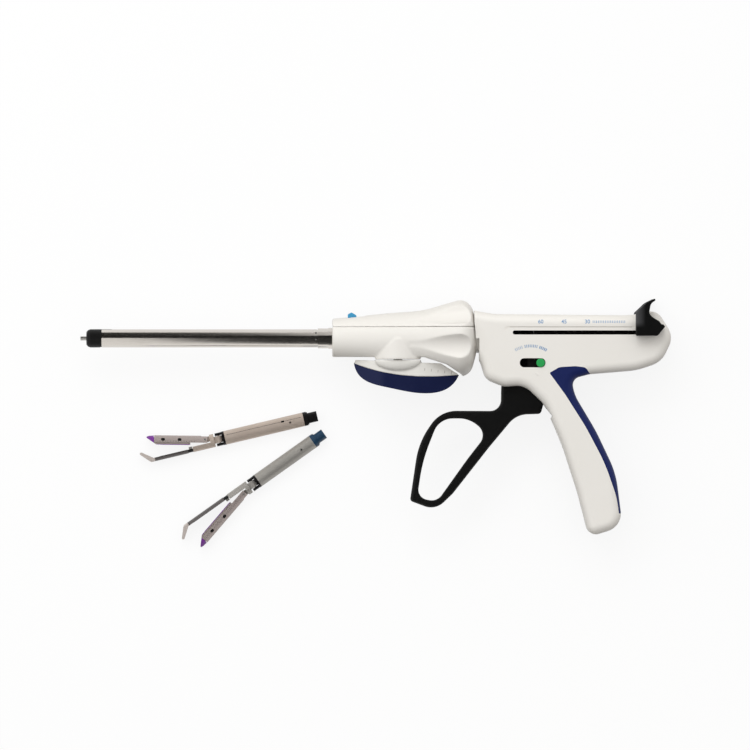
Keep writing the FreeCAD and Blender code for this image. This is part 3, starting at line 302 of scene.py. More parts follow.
ALONG_TUBE = (0.06, 1.0, 1.0)
EVEN = (1.0, 1.0, 1.0)
finishes["polished_tube"] = metal(
    "polished_tube", swatch(222, 218, 212), swatch(205, 199, 192), 0.09, ALONG_TUBE, 0.5, 0.0012, 0.05
)
finishes["satin_tube"] = metal(
    "blasted_sleeve", swatch(190, 178, 174), swatch(164, 152, 148), 0.42, EVEN, 0.35, 0.0015, 0.1, 0.5
)
finishes["dark_steel"] = metal(
    "blued_steel", swatch(52, 50, 51), swatch(34, 33, 34), 0.34, EVEN, 0.4, 0.005
)
finishes["steel_small"] = metal(
    "bright_steel", swatch(196, 194, 190), swatch(170, 168, 164), 0.2, EVEN, 0.4, 0.003
)
print("finishes:", sorted(finishes))

# %% [markdown]
# ## Dress the construction
# A piece of the frame carries the name of its finish from the construction. Giving each one the
# material of that name dresses the whole object in one loop, and a name without a finish would stop
# the script here, not in the picture.

# %% Give every piece its finish
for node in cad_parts.values():
    for material_slot in node.material_slots:
        material_slot.material = finishes[material_slot.material.name.split(".")[0]]
print("dressed:", len(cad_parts))

# %% [markdown]
# ## Pieces that are made here
# A dressing piece is an object whose place is in its mesh, exactly like a piece of the frame. It
# rides on the body that really carries it and takes its finish by the construction's own name for
# it, so the whole object can be repainted from one list.

# %% Hang a mesh on a body
def hang(mesh, name, body, finish):
    mesh.name = name
    mesh.materials.clear()
    mesh.materials.append(finishes[finish])
    piece = bpy.data.objects.new(name, mesh)
    bpy.context.scene.collection.objects.link(piece)
    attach(piece, body)
    print(name, "faces:", len(mesh.polygons))
    return piece


def as_mesh(shape, name, smooth=True):
    """A finished bmesh as a plain mesh with its faces turned outwards."""
    bmesh.ops.recalc_face_normals(shape, faces=shape.faces)
    mesh = bpy.data.meshes.new(name)
    shape.to_mesh(mesh)
    shape.free()
    if smooth:
        mesh.shade_smooth()
    return mesh


def evaluated(source):
    """The mesh that an object's modifiers make of it, the object itself being thrown away."""
    bpy.context.scene.collection.objects.link(source)
    graph = bpy.context.evaluated_depsgraph_get()
    mesh = bpy.data.meshes.new_from_object(source.evaluated_get(graph))
    bpy.data.objects.remove(source)
    return mesh


# %% [markdown]
# ## The turning knob
# The real knob is moulded in two halves whose finger flutes, flat and lever boss run into each other
# with soft edges. A hard-edged solid has the right sizes but the wrong light, because a moulded edge
# always catches a thin highlight. Each half is copied from the construction, its triangles are
# joined, a voxel remesh turns it into one even skin, and some rounds of smoothing roll every edge
# over. Each half is rolled on its own, so the seam between them stays. The small blue button gets the
# same treatment in a finer skin and is drawn in by BUTTON_PLAY, or it would scrape the rolled ends of
# its slot.

# %% Roll the edges of a solid
skins = {}


def skin_of(node_name):
    """The outer mesh of a piece, as dressed so far."""
    return skins.get(node_name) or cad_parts[node_name].data


def rolled_copy(node_name, voxel_mm, rounds, swellings=()):
    """A piece and the closed swellings added to it, as one skin with soft edges."""
    shape = bmesh.new()
    shape.from_mesh(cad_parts[node_name].data)
    bmesh.ops.remove_doubles(shape, verts=shape.verts, dist=WELD_MM * MM)
    for swelling in swellings:
        shape.from_mesh(swelling)
    source = bpy.data.objects.new("rolled_source", as_mesh(shape, "rolled_source"))
    skin = source.modifiers.new("skin", "REMESH")
    skin.mode = "VOXEL"
    skin.voxel_size = voxel_mm * MM
    roll = source.modifiers.new("roll", "SMOOTH")
    roll.factor = 0.5
    roll.iterations = rounds
    mesh = evaluated(source)
    mesh.shade_smooth()
    skins[node_name] = mesh
    return mesh


KNOB_VOXEL, KNOB_ROUNDS = 0.55, 7
BUTTON_VOXEL, BUTTON_ROUNDS = 0.25, 12
BUTTON_PLAY = 0.15
for half in ("knob_upper_half", "knob_lower_half"):
    rolled = hang(rolled_copy(half, KNOB_VOXEL, KNOB_ROUNDS), half + "_rolled", "knob", "ivory_shell")
    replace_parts(rolled, half)
button_skin = rolled_copy("unload_button", BUTTON_VOXEL, BUTTON_ROUNDS)
for corner in button_skin.vertices:
    corner.co -= corner.normal * BUTTON_PLAY * MM
button = hang(button_skin, "unload_button_rolled", "unload", "sky_button")
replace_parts(button, "unload_button")

# %% [markdown]
# ## The lever's hub
# As far as the photograph shows it, the hub swells out of the lid about as wide as the saddle above.
# The lower half of a flattened ball is set on each side of the lid, and the same remesh melts both
# into it. The far side is taken as a mirror of the near one.

# %% Swell the hub
HUB_CENTRE = (194.0, -14.25, 11.3)
HUB_SWELL = (15.0, 6.9, 4.3)
LID_VOXEL, LID_ROUNDS = 0.4, 5


def half_ball(centre, radii, side):
    """The half of a flattened ball that lies under its centre."""
    shape = bmesh.new()
    bmesh.ops.create_uvsphere(shape, u_segments=64, v_segments=32, radius=1.0)
    everything = shape.verts[:] + shape.edges[:] + shape.faces[:]
    cut = bmesh.ops.bisect_plane(
        shape, geom=everything, plane_co=(0, 0, 0), plane_no=(0, 1, 0), clear_outer=True
    )
    rim_edges = [part for part in cut["geom_cut"] if isinstance(part, bmesh.types.BMEdge)]
    bmesh.ops.contextual_create(shape, geom=rim_edges)
    bmesh.ops.scale(shape, vec=Vector(radii) * MM, verts=shape.verts)
    x, y, z = centre
    bmesh.ops.translate(shape, vec=Vector((x, y, z * side)) * MM, verts=shape.verts)
    return as_mesh(shape, "half_ball")


swellings = [half_ball(HUB_CENTRE, HUB_SWELL, side) for side in (-1.0, 1.0)]
lid = rolled_copy("articulation_lever_cap", LID_VOXEL, LID_ROUNDS, swellings)
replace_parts(hang(lid, "lever_cap_swollen", "lever", "white_plastic"), "articulation_lever_cap")

# %% [markdown]
# ## Shape trees
# Whatever repeats on this object is set out by Geometry Nodes: one copy is drawn, and a tree places
# it by a rule with named inputs. This class builds such a tree and grows a plain mesh from it. Each
# input is handed over under its socket's identifier before the tree first runs, because a modifier
# does not know its inputs by their names.

# %% A tree that grows a mesh
class ShapeTree(Graph):
    def __init__(self, name):
        self.group = bpy.data.node_groups.new(name, "GeometryNodeTree")
        super().__init__(self.group)
        self.group.interface.new_socket("Shape", in_out="OUTPUT", socket_type="NodeSocketGeometry")
        self.questions = self.group.nodes.new("NodeGroupInput")
        self.answer = self.group.nodes.new("NodeGroupOutput")

    def ask(self, name, kind="Float"):
        self.group.interface.new_socket(name, in_out="INPUT", socket_type="NodeSocket" + kind)
        return Number(self, self.questions.outputs[name])

    def place_copies(self, count, place, turn=0.0):
        """Sets the tree's Copy on count points and ends the tree."""
        points = self.add("GeometryNodePoints", None, {"Count": count, "Position": place})
        drawn = self.add("GeometryNodeObjectInfo", None, {"Object": self.ask("Copy", "Object")})
        rotation = self.add("ShaderNodeCombineXYZ", None, {"Z": turn})
        sockets = {
            "Points": points.outputs[0],
            "Instance": drawn.outputs["Geometry"],
            "Rotation": rotation.outputs[0],
        }
        copies = self.add("GeometryNodeInstanceOnPoints", None, sockets)
        real = self.add("GeometryNodeRealizeInstances", None, {"Geometry": copies.outputs[0]})
        sockets = {"Geometry": real.outputs[0], "Material": self.ask("Finish", "Material")}
        dressed = self.add("GeometryNodeSetMaterial", None, sockets)
        self.group.links.new(dressed.outputs[0], self.answer.inputs[0])

    def grow(self, copy_mesh, finish, **values):
        pattern = bpy.data.objects.new("pattern", copy_mesh)
        carrier = bpy.data.objects.new("carrier", bpy.data.meshes.new("carrier"))
        modifier = carrier.modifiers.new("grow", "NODES")
        modifier.node_group = self.group
        values.update(Copy=pattern, Finish=finishes[finish])
        for item in self.group.interface.items_tree:
            if item.in_out == "INPUT":
                modifier[item.identifier] = values[item.name]
        mesh = evaluated(carrier)
        bpy.data.objects.remove(pattern)
        return mesh


# %% [markdown]
# ## Rows and arcs of one thing
# Staple pockets, scale marks and strokes are one small shape set out in rows or round an arc. The
# rule for rows is: number the points, find each one's column and row from its number, and step along
# by the pitch, every other row moved on by a share of it. A loop in Python would do the same, but a
# tree keeps the rule in one place where its inputs can be turned by hand.

# %% The two trees
rows_tree = ShapeTree("rows")
columns, rows = rows_tree.ask("Columns", "Int"), rows_tree.ask("Rows", "Int")
pitch, row_gap = rows_tree.ask("Pitch"), rows_tree.ask("RowGap")
stagger = rows_tree.ask("Stagger")
index = rows_tree.number(rows_tree.add("GeometryNodeInputIndex"))
column = ((index + 0.5) / rows).floor()
row = index - column * rows
along = (column + row.remainder(2.0) * stagger) * pitch
across = (row - (rows - 1.0) * 0.5) * row_gap
place = rows_tree.add("ShaderNodeCombineXYZ", None, {"X": along, "Y": across})
rows_tree.place_copies(columns * rows, place.outputs[0])

arc_tree = ShapeTree("arc")
count, radius = arc_tree.ask("Count", "Int"), arc_tree.ask("Radius")
first, step = arc_tree.ask("First"), arc_tree.ask("Step")
index = arc_tree.number(arc_tree.add("GeometryNodeInputIndex"))
angle = first + index * step
place = arc_tree.add(
    "ShaderNodeCombineXYZ",
    None,
    {"X": radius * angle.wave(), "Y": radius * arc_tree.number(
        arc_tree.add("ShaderNodeMath", {"operation": "COSINE"}, {0: angle}))},
)
arc_tree.place_copies(count, place.outputs[0], angle * -1.0)

# %% [markdown]
# ## Printing on a curved shell
# Pad printing presses a flat picture on a rounded surface. The same is done here: a print is drawn
# flat, cut into narrow strips so that it can bend, and every corner of it is let fall on the piece
# below. It comes to lie a few hundredths of a millimetre proud, as real ink does.

# %% Draw flat, then let fall
def bar(length, width, thick=0.03):
    """A flat stroke round its own middle, length along Y."""
    shape = bmesh.new()
    bmesh.ops.create_cube(shape, size=1.0)
    bmesh.ops.scale(shape, vec=(width * MM, length * MM, thick * MM), verts=shape.verts)
    bmesh.ops.translate(shape, vec=(0, 0, 0.5 * thick * MM), verts=shape.verts)
    return as_mesh(shape, "bar", smooth=False)


BOLDNESS = 0.02


def lettering(text, size_mm):
    curve = bpy.data.curves.new("lettering", "FONT")
    curve.body = text
    curve.size = size_mm * MM
    curve.align_x = "CENTER"
    curve.align_y = "CENTER"
    curve.extrude = 0.015 * MM
    curve.offset = BOLDNESS * size_mm * MM
    return evaluated(bpy.data.objects.new("lettering", curve))


STRIP_MM = 0.4
DROP_FROM = 0.2


def moved(x, y, z=0.0):
    return Matrix.Translation((x * MM, y * MM, z * MM))


def turned(degrees, axis="Z"):
    return Matrix.Rotation(math.radians(degrees), 4, axis)


def let_fall(mesh, node_name, stand, lift_mm=0.02, bending=True):
    """Sets a flat print on a stand and drops it on a piece, against the stand's own Z."""
    shape = bmesh.new()
    shape.from_mesh(mesh)
    for axis in (0, 1) if bending else ():
        reach = [corner.co[axis] for corner in shape.verts]
        cut = Vector((0.0, 0.0, 0.0))
        cut[axis] = min(reach) + STRIP_MM * MM
        while cut[axis] < max(reach):
            everything = shape.verts[:] + shape.edges[:] + shape.faces[:]
            normal = Vector((1.0 - axis, float(axis), 0.0))
            bmesh.ops.bisect_plane(shape, geom=everything, plane_co=cut, plane_no=normal)
            cut[axis] += STRIP_MM * MM
    below = skin_of(node_name)
    ground = BVHTree.FromPolygons([v.co for v in below.vertices], [p.vertices for p in below.polygons])
    up = (stand.to_3x3() @ Vector((0.0, 0.0, 1.0))).normalized()
    for corner in shape.verts:
        spot = stand @ Vector((corner.co.x, corner.co.y, 0.0))
        hit = ground.ray_cast(spot + up * DROP_FROM, -up)[0]
        corner.co = (hit or spot) + up * (corner.co.z + lift_mm * MM)
    return as_mesh(shape, mesh.name, smooth=False)


print("strips of", STRIP_MM, "mm")

# %% [markdown]
# ## Marks beside the firing slot
# The scale's numbers stand about 15 mm apart along the slot, so they seem to be lengths of staple
# line in millimetres. Behind them, and in an arc over the selector, stand plain strokes whose meaning
# is a guess: the arc's three groups might be thin, middling and thick tissue, so they grow wider.

# %% Printed marks
def printing(name, colour):
    finish = Finish(name, Specular_IOR_Level=0.35)
    speckle = finish.noise(0.5, 2.0)
    pale = [channel + (1.0 - channel) * 0.35 for channel in colour]
    finish.paint("Base Color", finish.blend(speckle, colour, pale))
    finish.paint("Roughness", 0.4 + speckle * 0.15)
    return finish.material


SCALE_Y = 10.8
NUMBER_SIZE = 3.5
FIRST_NUMBER_X = 287.3
NUMBER_STEP = 15.25
finishes["sky_print"] = printing("sky_blue_ink", swatch(48, 122, 178))


def ink(mesh, name):
    piece = hang(mesh, name, "handle", "sky_button")
    piece.data.materials[0] = finishes["sky_print"]
    return piece


for order, number in enumerate(("60", "45", "30")):
    stand = moved(FIRST_NUMBER_X + order * NUMBER_STEP, SCALE_Y)
    ink(let_fall(lettering(number, NUMBER_SIZE), "left_housing", stand), "scale_number_" + number)

strokes = rows_tree.grow(
    bar(1.6, 0.42), "sky_button", Columns=19, Rows=1, Pitch=1.15 * MM, RowGap=0.0, Stagger=0.0
)
ink(let_fall(strokes, "left_housing", moved(321.5, SCALE_Y)), "pull_back_strokes")

# First angle in degrees, number of strokes, width of a stroke in mm
THIN_TO_THICK = ((-29.5, 5, 0.36), (-10.8, 8, 0.5), (17.2, 5, 0.66))
ARC_CENTRE = (280.8, -25.0)
ARC_RADIUS = 20.0
for order, (first_degrees, strokes_count, width) in enumerate(THIN_TO_THICK):
    group = arc_tree.grow(
        bar(1.9, width), "sky_button", Count=strokes_count, Radius=ARC_RADIUS * MM,
        First=math.radians(first_degrees), Step=math.radians(3.2),
    )
    ink(let_fall(group, "left_housing", moved(*ARC_CENTRE)), "tissue_strokes_" + str(order + 1))

# %% [markdown]
# ## Small marks on the surface
# The hub of the lever gets low ribs for grip, its lid a few strokes that are taken as a scale of the
# bend, and a small oval stands under the selector. The fine groove above the firing slot is real, and
# a strip of painted shade on its floor keeps it in sight from afar. Before the knob the photograph
# shows a bright and a dark spot on the tube, laid on as a painted highlight and a painted shade of a
# dimple. Each of these is a thin plate laid on the surface, at most 0.18 mm thick.

# %% Ribs, strokes and spots
def oval(length, width, thick, sides=20):
    """A flat plate with round ends, length along X."""
    shape = bmesh.new()
    straight_half = (length - width) / 2
    corners = []
    for i in range(sides):
        turn = 2 * math.pi * (i + 0.5) / sides
        x = width / 2 * math.cos(turn)
        corners.append(((x + math.copysign(straight_half, x)) * MM, width / 2 * math.sin(turn) * MM))
    low = [shape.verts.new((x, y, 0.0)) for x, y in corners]
    high = [shape.verts.new((x * 0.94, y * 0.94, thick * MM)) for x, y in corners]
    shape.faces.new(high)
    for i in range(sides):
        after = (i + 1) % sides
        shape.faces.new((low[i], low[after], high[after], high[i]))
    return as_mesh(shape, "oval", smooth=False)


finishes["grey_mark"] = grained_plastic("grey_mark", swatch(176, 172, 166), 0.4, 0.5, 0.01, 1.1)
finishes["shadow_line"] = grained_plastic("shadow_line", swatch(206, 203, 197), 0.4, 0.5, 0.01, 1.1)


def mark(mesh, name, body, slot, finish):
    piece = hang(mesh, name, body, slot)
    piece.data.materials[0] = finishes[finish]
    return piece


hub_ribs = rows_tree.grow(
    bar(4.2, 0.5, 0.1), "white_plastic", Columns=8, Rows=1, Pitch=2.7 * MM, RowGap=0.0, Stagger=0.0
)
hang(let_fall(hub_ribs, "articulation_lever_cap", moved(184.6, -17.2)), "hub_ribs", "lever", "white_plastic")
lid_strokes = rows_tree.grow(
    bar(1.7, 0.34), "white_plastic", Columns=5, Rows=1, Pitch=4.4 * MM, RowGap=0.0, Stagger=0.0
)
lid_strokes = let_fall(lid_strokes, "articulation_lever_cap", moved(211.5, -20.4) @ turned(-7.0))
mark(lid_strokes, "bend_strokes", "lever", "white_plastic", "grey_mark")
# A strip of painted shade on the floor of the moulded groove.
groove_shade = let_fall(oval(80.0, 0.5, 0.05), "left_housing", moved(307.0, 7.4))
mark(groove_shade, "groove_shade", "handle", "ivory_shell", "shadow_line")
selector_oval = let_fall(oval(2.8, 1.3, 0.18), "left_housing", moved(285.0, -23.3) @ turned(-32.0))
hang(selector_oval, "selector_oval", "handle", "ivory_shell")
SPOT_X = 140.3
# A painted highlight and a painted shade, the lit and the shaded side of a dimple in the tube.
bright_dimple = let_fall(oval(1.1, 1.1, 0.04), "shaft_tube", moved(SPOT_X, -0.7))
hang(bright_dimple, "bright_dimple", "knob", "steel_small")
dark_dimple = let_fall(oval(1.1, 1.1, 0.04), "shaft_tube", moved(SPOT_X, 3.6))
hang(dark_dimple, "dark_dimple", "knob", "dark_steel")

# %% [markdown]
# ## Keeping the slot dark
# The firing slot goes through both shells, so daylight would show at its front end, where the rack's
# neck is thin. A black baffle inside the far shell and a small black fin on the rack close the view as
# painted shade, and leave the retraction pin its full way.

# %% Baffle and fin
def slab(low, high):
    shape = bmesh.new()
    bmesh.ops.create_cube(shape, size=1.0)
    bmesh.ops.scale(shape, vec=(Vector(high) - Vector(low)) * MM, verts=shape.verts)
    bmesh.ops.translate(shape, vec=(Vector(high) + Vector(low)) * 0.5 * MM, verts=shape.verts)
    bmesh.ops.bevel(shape, geom=shape.edges[:], offset=0.1 * MM, segments=1, affect="EDGES")
    return as_mesh(shape, "slab", smooth=False)


BAFFLE_CORNERS = ((266.0, 1.6, -12.8), (280.4, 5.7, -12.0))
FIN_CORNERS = ((279.6, 2.4, -1.1), (282.9, 5.1, 1.1))
# Black pieces of painted shade inside the firing slot.
hang(slab(*BAFFLE_CORNERS), "slot_baffle", "handle", "black_plastic")
hang(slab(*FIN_CORNERS), "rack_fin", "rack", "black_plastic")

# %% [markdown]
# ## Screws
# Self-tapping screws close the two shells from the far side, and two more close the knob. Each is
# turned from a profile, and a cross is sunk in its head by taking two bars away from it, just as the
# punch does.

# %% Turn a screw and sink its cross
def screw(head_radius, head_height, shank_radius, length):
    """A screw along Z, the outer face of its head at the bottom."""
    profile = [
        (0.0, 0.0), (head_radius - 0.4, 0.0), (head_radius, 0.45), (head_radius, head_height),
        (shank_radius, head_height), (shank_radius, length - 1.0), (0.3, length), (0.0, length),
    ]
    shape = bmesh.new()
    corners = [shape.verts.new((radius * MM, 0.0, z * MM)) for radius, z in profile]
    edges = [shape.edges.new(pair) for pair in zip(corners, corners[1:])]
    bmesh.ops.spin(
        shape, geom=corners + edges, cent=(0, 0, 0), axis=(0, 0, 1), angle=2 * math.pi, steps=32
    )
    bmesh.ops.remove_doubles(shape, verts=shape.verts, dist=WELD_MM * MM)
    source = bpy.data.objects.new("screw", as_mesh(shape, "screw", smooth=False))
    wing = head_radius * 1.25
    cutters = []
    for width, length_x in ((wing, 0.5), (0.5, wing)):
        cutter = bpy.data.objects.new("cutter", bar(width, length_x, 1.0))
        cutter.location.z = -0.1 * MM
        modifier = source.modifiers.new("cross", "BOOLEAN")
        modifier.operation = "DIFFERENCE"
        modifier.object = cutter
        cutters.append(cutter)
    mesh = evaluated(source)
    for cutter in cutters:
        bpy.data.objects.remove(cutter)
    return mesh


def set_out(mesh, stands):
    """One mesh with a copy of this one on every stand."""
    shape = bmesh.new()
    for stand in stands:
        copy = mesh.copy()
        copy.transform(stand)
        shape.from_mesh(copy)
    return as_mesh(shape, mesh.name, smooth=False)


SCREW_PLACES = [(257.0, -20.5), (346.0, -13.0), (356.0, 10.6), (318.5, -80.0), (327.5, -115.0)]
stands = [moved(x, y, -14.5) for x, y in SCREW_PLACES]
shell_screws = hang(set_out(screw(2.2, 1.8, 1.1, 21.0), stands), "cross_screws", "handle", "steel_small")
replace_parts(shell_screws, "housing_screws")
stands = [moved(173.5, -9.4, z) @ turned(-90.0, "X") for z in (-7.1, 7.1)]
clamp_screws = hang(set_out(screw(1.6, 1.8, 1.1, 19.0), stands), "knob_cross_screws", "knob", "steel_small")
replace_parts(clamp_screws, "knob_screws")

# %% [markdown]
# ## Finding a place on a loading unit
# Both loading units were drawn along X and then shrunk, turned and laid on the table. One matrix for
# each repeats that, so a dressing can be given in the unit's own coordinates. The cartridge jaw is
# opened about its pin, which one more matrix adds.

# %% Stands on the units
UNIT_SCALE = 0.76
UNIT_AXIS_Z = -25.0 + 6.0 * UNIT_SCALE
JAW_OPENING = 14.0
HINGE_Y = -2.6


def unit_stand(x, y, heading, side):
    flip = Matrix.Scale(side, 4, Vector((0.0, 1.0, 0.0)))
    return moved(x, y, UNIT_AXIS_Z) @ turned(heading) @ Matrix.Scale(UNIT_SCALE, 4) @ flip


def open_jaw(stand, hinge_x):
    return stand @ moved(hinge_x, HINGE_Y) @ turned(-JAW_OPENING) @ moved(-hinge_x, -HINGE_Y)


UNIT_PLACES = {"upper": (141.0, -51.0, 193.3, 1.0), "lower": (145.5, -62.5, 215.4, -1.0)}
UNIT_STANDS = {unit: unit_stand(*spot) for unit, spot in UNIT_PLACES.items()}
HINGE_X = {"upper": 99.0, "lower": 87.0}
JAW_LENGTH = {"upper": 55.0, "lower": 63.0}
print("unit stands:", sorted(UNIT_STANDS))

# %% [markdown]
# ## Finishes that change along a piece
# The anvil is dark up to its bright bent tip. The cartridge shows purple at its nose and along the
# deck, while its flanks have the channel's metal colour. The black pull-back knobs get a greyer patch
# in front, a painted highlight. Each of these finishes first asks how far along and across the piece a
# point lies: a Mapping node set to Texture undoes the turn, the place and the shrinking.

# %% Metal with a place in it
def along_and_across(finish, x, y, heading=0.0, side=1.0, scale=1.0):
    sockets = {
        "Vector": finish.place,
        "Location": (x * MM, y * MM, 0.0),
        "Rotation": (0.0, 0.0, math.radians(heading)),
        "Scale": (scale * MM, scale * side * MM, scale * MM),
    }
    mapping = finish.add("ShaderNodeMapping", {"vector_type": "TEXTURE"}, sockets)
    split = finish.add("ShaderNodeSeparateXYZ", None, {"Vector": mapping.outputs[0]})
    return finish.number(split, "X"), finish.number(split, "Y")


def dress(node_name, material):
    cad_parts[node_name].material_slots[0].material = material


def two_tone_metal(name, share_of_second, first, second, finish):
    grain = finish.noise(0.4, 3.0)
    first_tone = finish.blend(grain, first, [channel * 0.8 for channel in first])
    sockets = {"Factor": share_of_second, 6: first_tone, 7: opaque(second)}
    mixed = finish.add("ShaderNodeMix", {"data_type": "RGBA"}, sockets).outputs[2]
    finish.paint("Base Color", mixed)
    finish.paint("Roughness", 0.3 + grain * 0.14)
    finish.emboss(grain, 0.005)
    return finish.material


SLEEVES = {
    "upper": metal("beige_sleeve", swatch(214, 200, 188), swatch(188, 172, 160), 0.42, EVEN, 0.35, 0.003,
                   0.1, 0.6),
    "lower": metal("grey_sleeve", swatch(184, 181, 175), swatch(156, 153, 148), 0.42, EVEN, 0.35, 0.003,
                   0.1, 0.6),
}
BRIGHT_TIP = 9.0
PURPLE_NOSE = 11.0
DECK_EDGE = 4.35
ARM = swatch(104, 99, 98)
TIP = swatch(206, 196, 190)
for unit, (x, y, heading, side) in UNIT_PLACES.items():
    dress(unit + "_unit_tube", SLEEVES[unit])
    anvil = Finish(unit + "_anvil_steel", Metallic=0.45)
    along, across = along_and_across(anvil, x, y, heading, side, UNIT_SCALE)
    bright = along.above(HINGE_X[unit] + JAW_LENGTH[unit] - BRIGHT_TIP)
    dress(unit + "_unit_anvil", two_tone_metal(anvil.material.name, bright, ARM, TIP, anvil))

    hinge = UNIT_STANDS[unit] @ Vector((HINGE_X[unit] * MM, HINGE_Y * MM, 0.0)) / MM
    plated = Finish(unit + "_plated_cartridge", Specular_IOR_Level=0.5)
    along, across = along_and_across(
        plated, hinge.x, hinge.y, heading - JAW_OPENING * side, side, UNIT_SCALE
    )
    flank = along.below(JAW_LENGTH[unit] - PURPLE_NOSE) * across.below(DECK_EDGE)
    cloud = plated.noise(6.0, 3.0)
    purple = plated.blend(cloud, swatch(104, 34, 132), swatch(132, 62, 160))
    sockets = {"Factor": flank, 6: purple, 7: opaque(swatch(196, 184, 178))}
    coloured = plated.add("ShaderNodeMix", {"data_type": "RGBA"}, sockets).outputs[2]
    plated.paint("Base Color", coloured)
    plated.paint("Metallic", flank)
    plated.paint("Roughness", 0.24 + flank * 0.08 + cloud * 0.1)
    plated.emboss(plated.noise(0.4, 2.0), 0.008)
    dress(unit + "_unit_cartridge", plated.material)

PAD_EDGE_X = 355.5
PAD_FOOT_Y = 7.0
PAD_FADES = (-0.18, 0.3)
# A painted highlight: the black turns grey towards the front and the top of the pull-back knobs.
knob_sheen = Finish("pull_knob_painted_sheen", Specular_IOR_Level=0.25)
along, across = along_and_across(knob_sheen, PAD_EDGE_X, PAD_FOOT_Y)
front_sheen = (along * PAD_FADES[0]).at_least(0.0).at_most(1.0)
front_sheen = front_sheen * (across * PAD_FADES[1]).at_least(0.0).at_most(1.0)
grain = knob_sheen.noise(0.5, 3.0)
knob_sheen.paint("Base Color", knob_sheen.blend(front_sheen, swatch(9, 9, 9), swatch(74, 74, 76)))
knob_sheen.paint("Roughness", 0.4 + grain * 0.12)
knob_sheen.emboss(grain, 0.02)
for hand in ("left", "right"):
    dress(hand + "_retraction_knob", knob_sheen.material)
print("sleeves:", sorted(SLEEVES))

# %% [markdown]
# ## The neck in the fork
# The neck of each jaw base swings between the cheeks of a fork and is filed round behind its pin. A
# tenth of a millimetre is taken off there, so that the neck runs clear of the fork's root.

# %% File the neck
PIVOT_X = {"upper": 87.0, "lower": 75.0}
FILED = 0.965
for unit, stand in UNIT_STANDS.items():
    name = unit + "_unit_jaw_mount"
    shape = bmesh.new()
    shape.from_mesh(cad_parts[name].data)
    bmesh.ops.remove_doubles(shape, verts=shape.verts, dist=WELD_MM * MM)
    bmesh.ops.transform(shape, matrix=stand.inverted(), verts=shape.verts)
    for corner in shape.verts:
        if corner.co.x < PIVOT_X[unit] * MM:
            corner.co.x += (PIVOT_X[unit] * MM - corner.co.x) * (1.0 - FILED)
            corner.co.z *= FILED
    bmesh.ops.transform(shape, matrix=stand, verts=shape.verts)
    filed = hang(as_mesh(shape, name, smooth=False), name + "_filed", unit + "_anvil_jaw", "satin_tube")
    filed.data.materials[0] = SLEEVES[unit]
    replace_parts(filed, name)

# %% [markdown]
# ## Staple pockets
# Such a cartridge holds its staples in six staggered rows, three on each side of the knife's slot, and
# the anvil has a pocket opposite each one that bends the staple shut. The photograph hides both faces.
# A pocket here is a dark plate of painted shade with a low rim round it, laid on the face and not cut
# in. The rows come from the rows tree, with every other row moved on by half a pitch.

# %% Rows of pockets
def rim(length, width, wall, height, sides=20):
    """An upright ring with round ends."""
    shape = bmesh.new()
    loops = []
    for shrink, z in ((0.0, 0.0), (0.0, height), (wall, height), (wall, 0.0)):
        loop = []
        for i in range(sides):
            turn = 2 * math.pi * (i + 0.5) / sides
            x = (width / 2 - shrink) * math.cos(turn)
            y = (width / 2 - shrink) * math.sin(turn)
            loop.append(shape.verts.new(((x + math.copysign((length - width) / 2, x)) * MM, y * MM, z * MM)))
        loops.append(loop)
    for first_loop, second_loop in zip(loops, loops[1:]):
        for i in range(sides):
            after = (i + 1) % sides
            shape.faces.new((first_loop[i], first_loop[after], second_loop[after], second_loop[i]))
    return as_mesh(shape, "rim", smooth=False)


POCKET_PITCH = 3.9
POCKET_ROWS = {"Rows": 3, "Pitch": POCKET_PITCH * MM, "RowGap": 1.25 * MM, "Stagger": 0.5}
DECK_TOP = 2.2
ANVIL_FLOOR = 2.6
ROWS_FROM_SLOT = 2.95
DECK_START, ANVIL_START = 15.5, 18.5
ENDS_WITHOUT_POCKETS = 29.0


def pockets(name, piece, body, slot, stand, count):
    for side, word in ((-1.0, "near"), (1.0, "far")):
        spot = stand @ moved(0.0, ROWS_FROM_SLOT * side)
        # The pocket floors are black plates of painted shade.
        pocket_shade_floors = rows_tree.grow(oval(2.9, 0.74, 0.02), slot, Columns=count, **POCKET_ROWS)
        mark(let_fall(pocket_shade_floors, piece, spot), name + "_pockets_" + word, body, slot, "black_plastic")
        rims = rows_tree.grow(rim(3.3, 1.05, 0.14, 0.1), slot, Columns=count, **POCKET_ROWS)
        hang(let_fall(rims, piece, spot, 0.0), name + "_rims_" + word, body, slot)


for unit, stand in UNIT_STANDS.items():
    hinge_x = HINGE_X[unit]
    columns_that_fit = int((JAW_LENGTH[unit] - ENDS_WITHOUT_POCKETS) / POCKET_PITCH)
    deck = open_jaw(stand, hinge_x) @ moved(hinge_x + DECK_START, DECK_TOP) @ turned(-90.0, "X")
    jaw = unit + "_cartridge_jaw"
    pockets(jaw, unit + "_unit_cartridge", jaw, "purple_plastic", deck, columns_that_fit)
    under = stand @ moved(hinge_x + ANVIL_START, ANVIL_FLOOR) @ turned(90.0, "X")
    jaw = unit + "_anvil_jaw"
    pockets(jaw, unit + "_unit_anvil", jaw, "dark_steel", under, columns_that_fit)
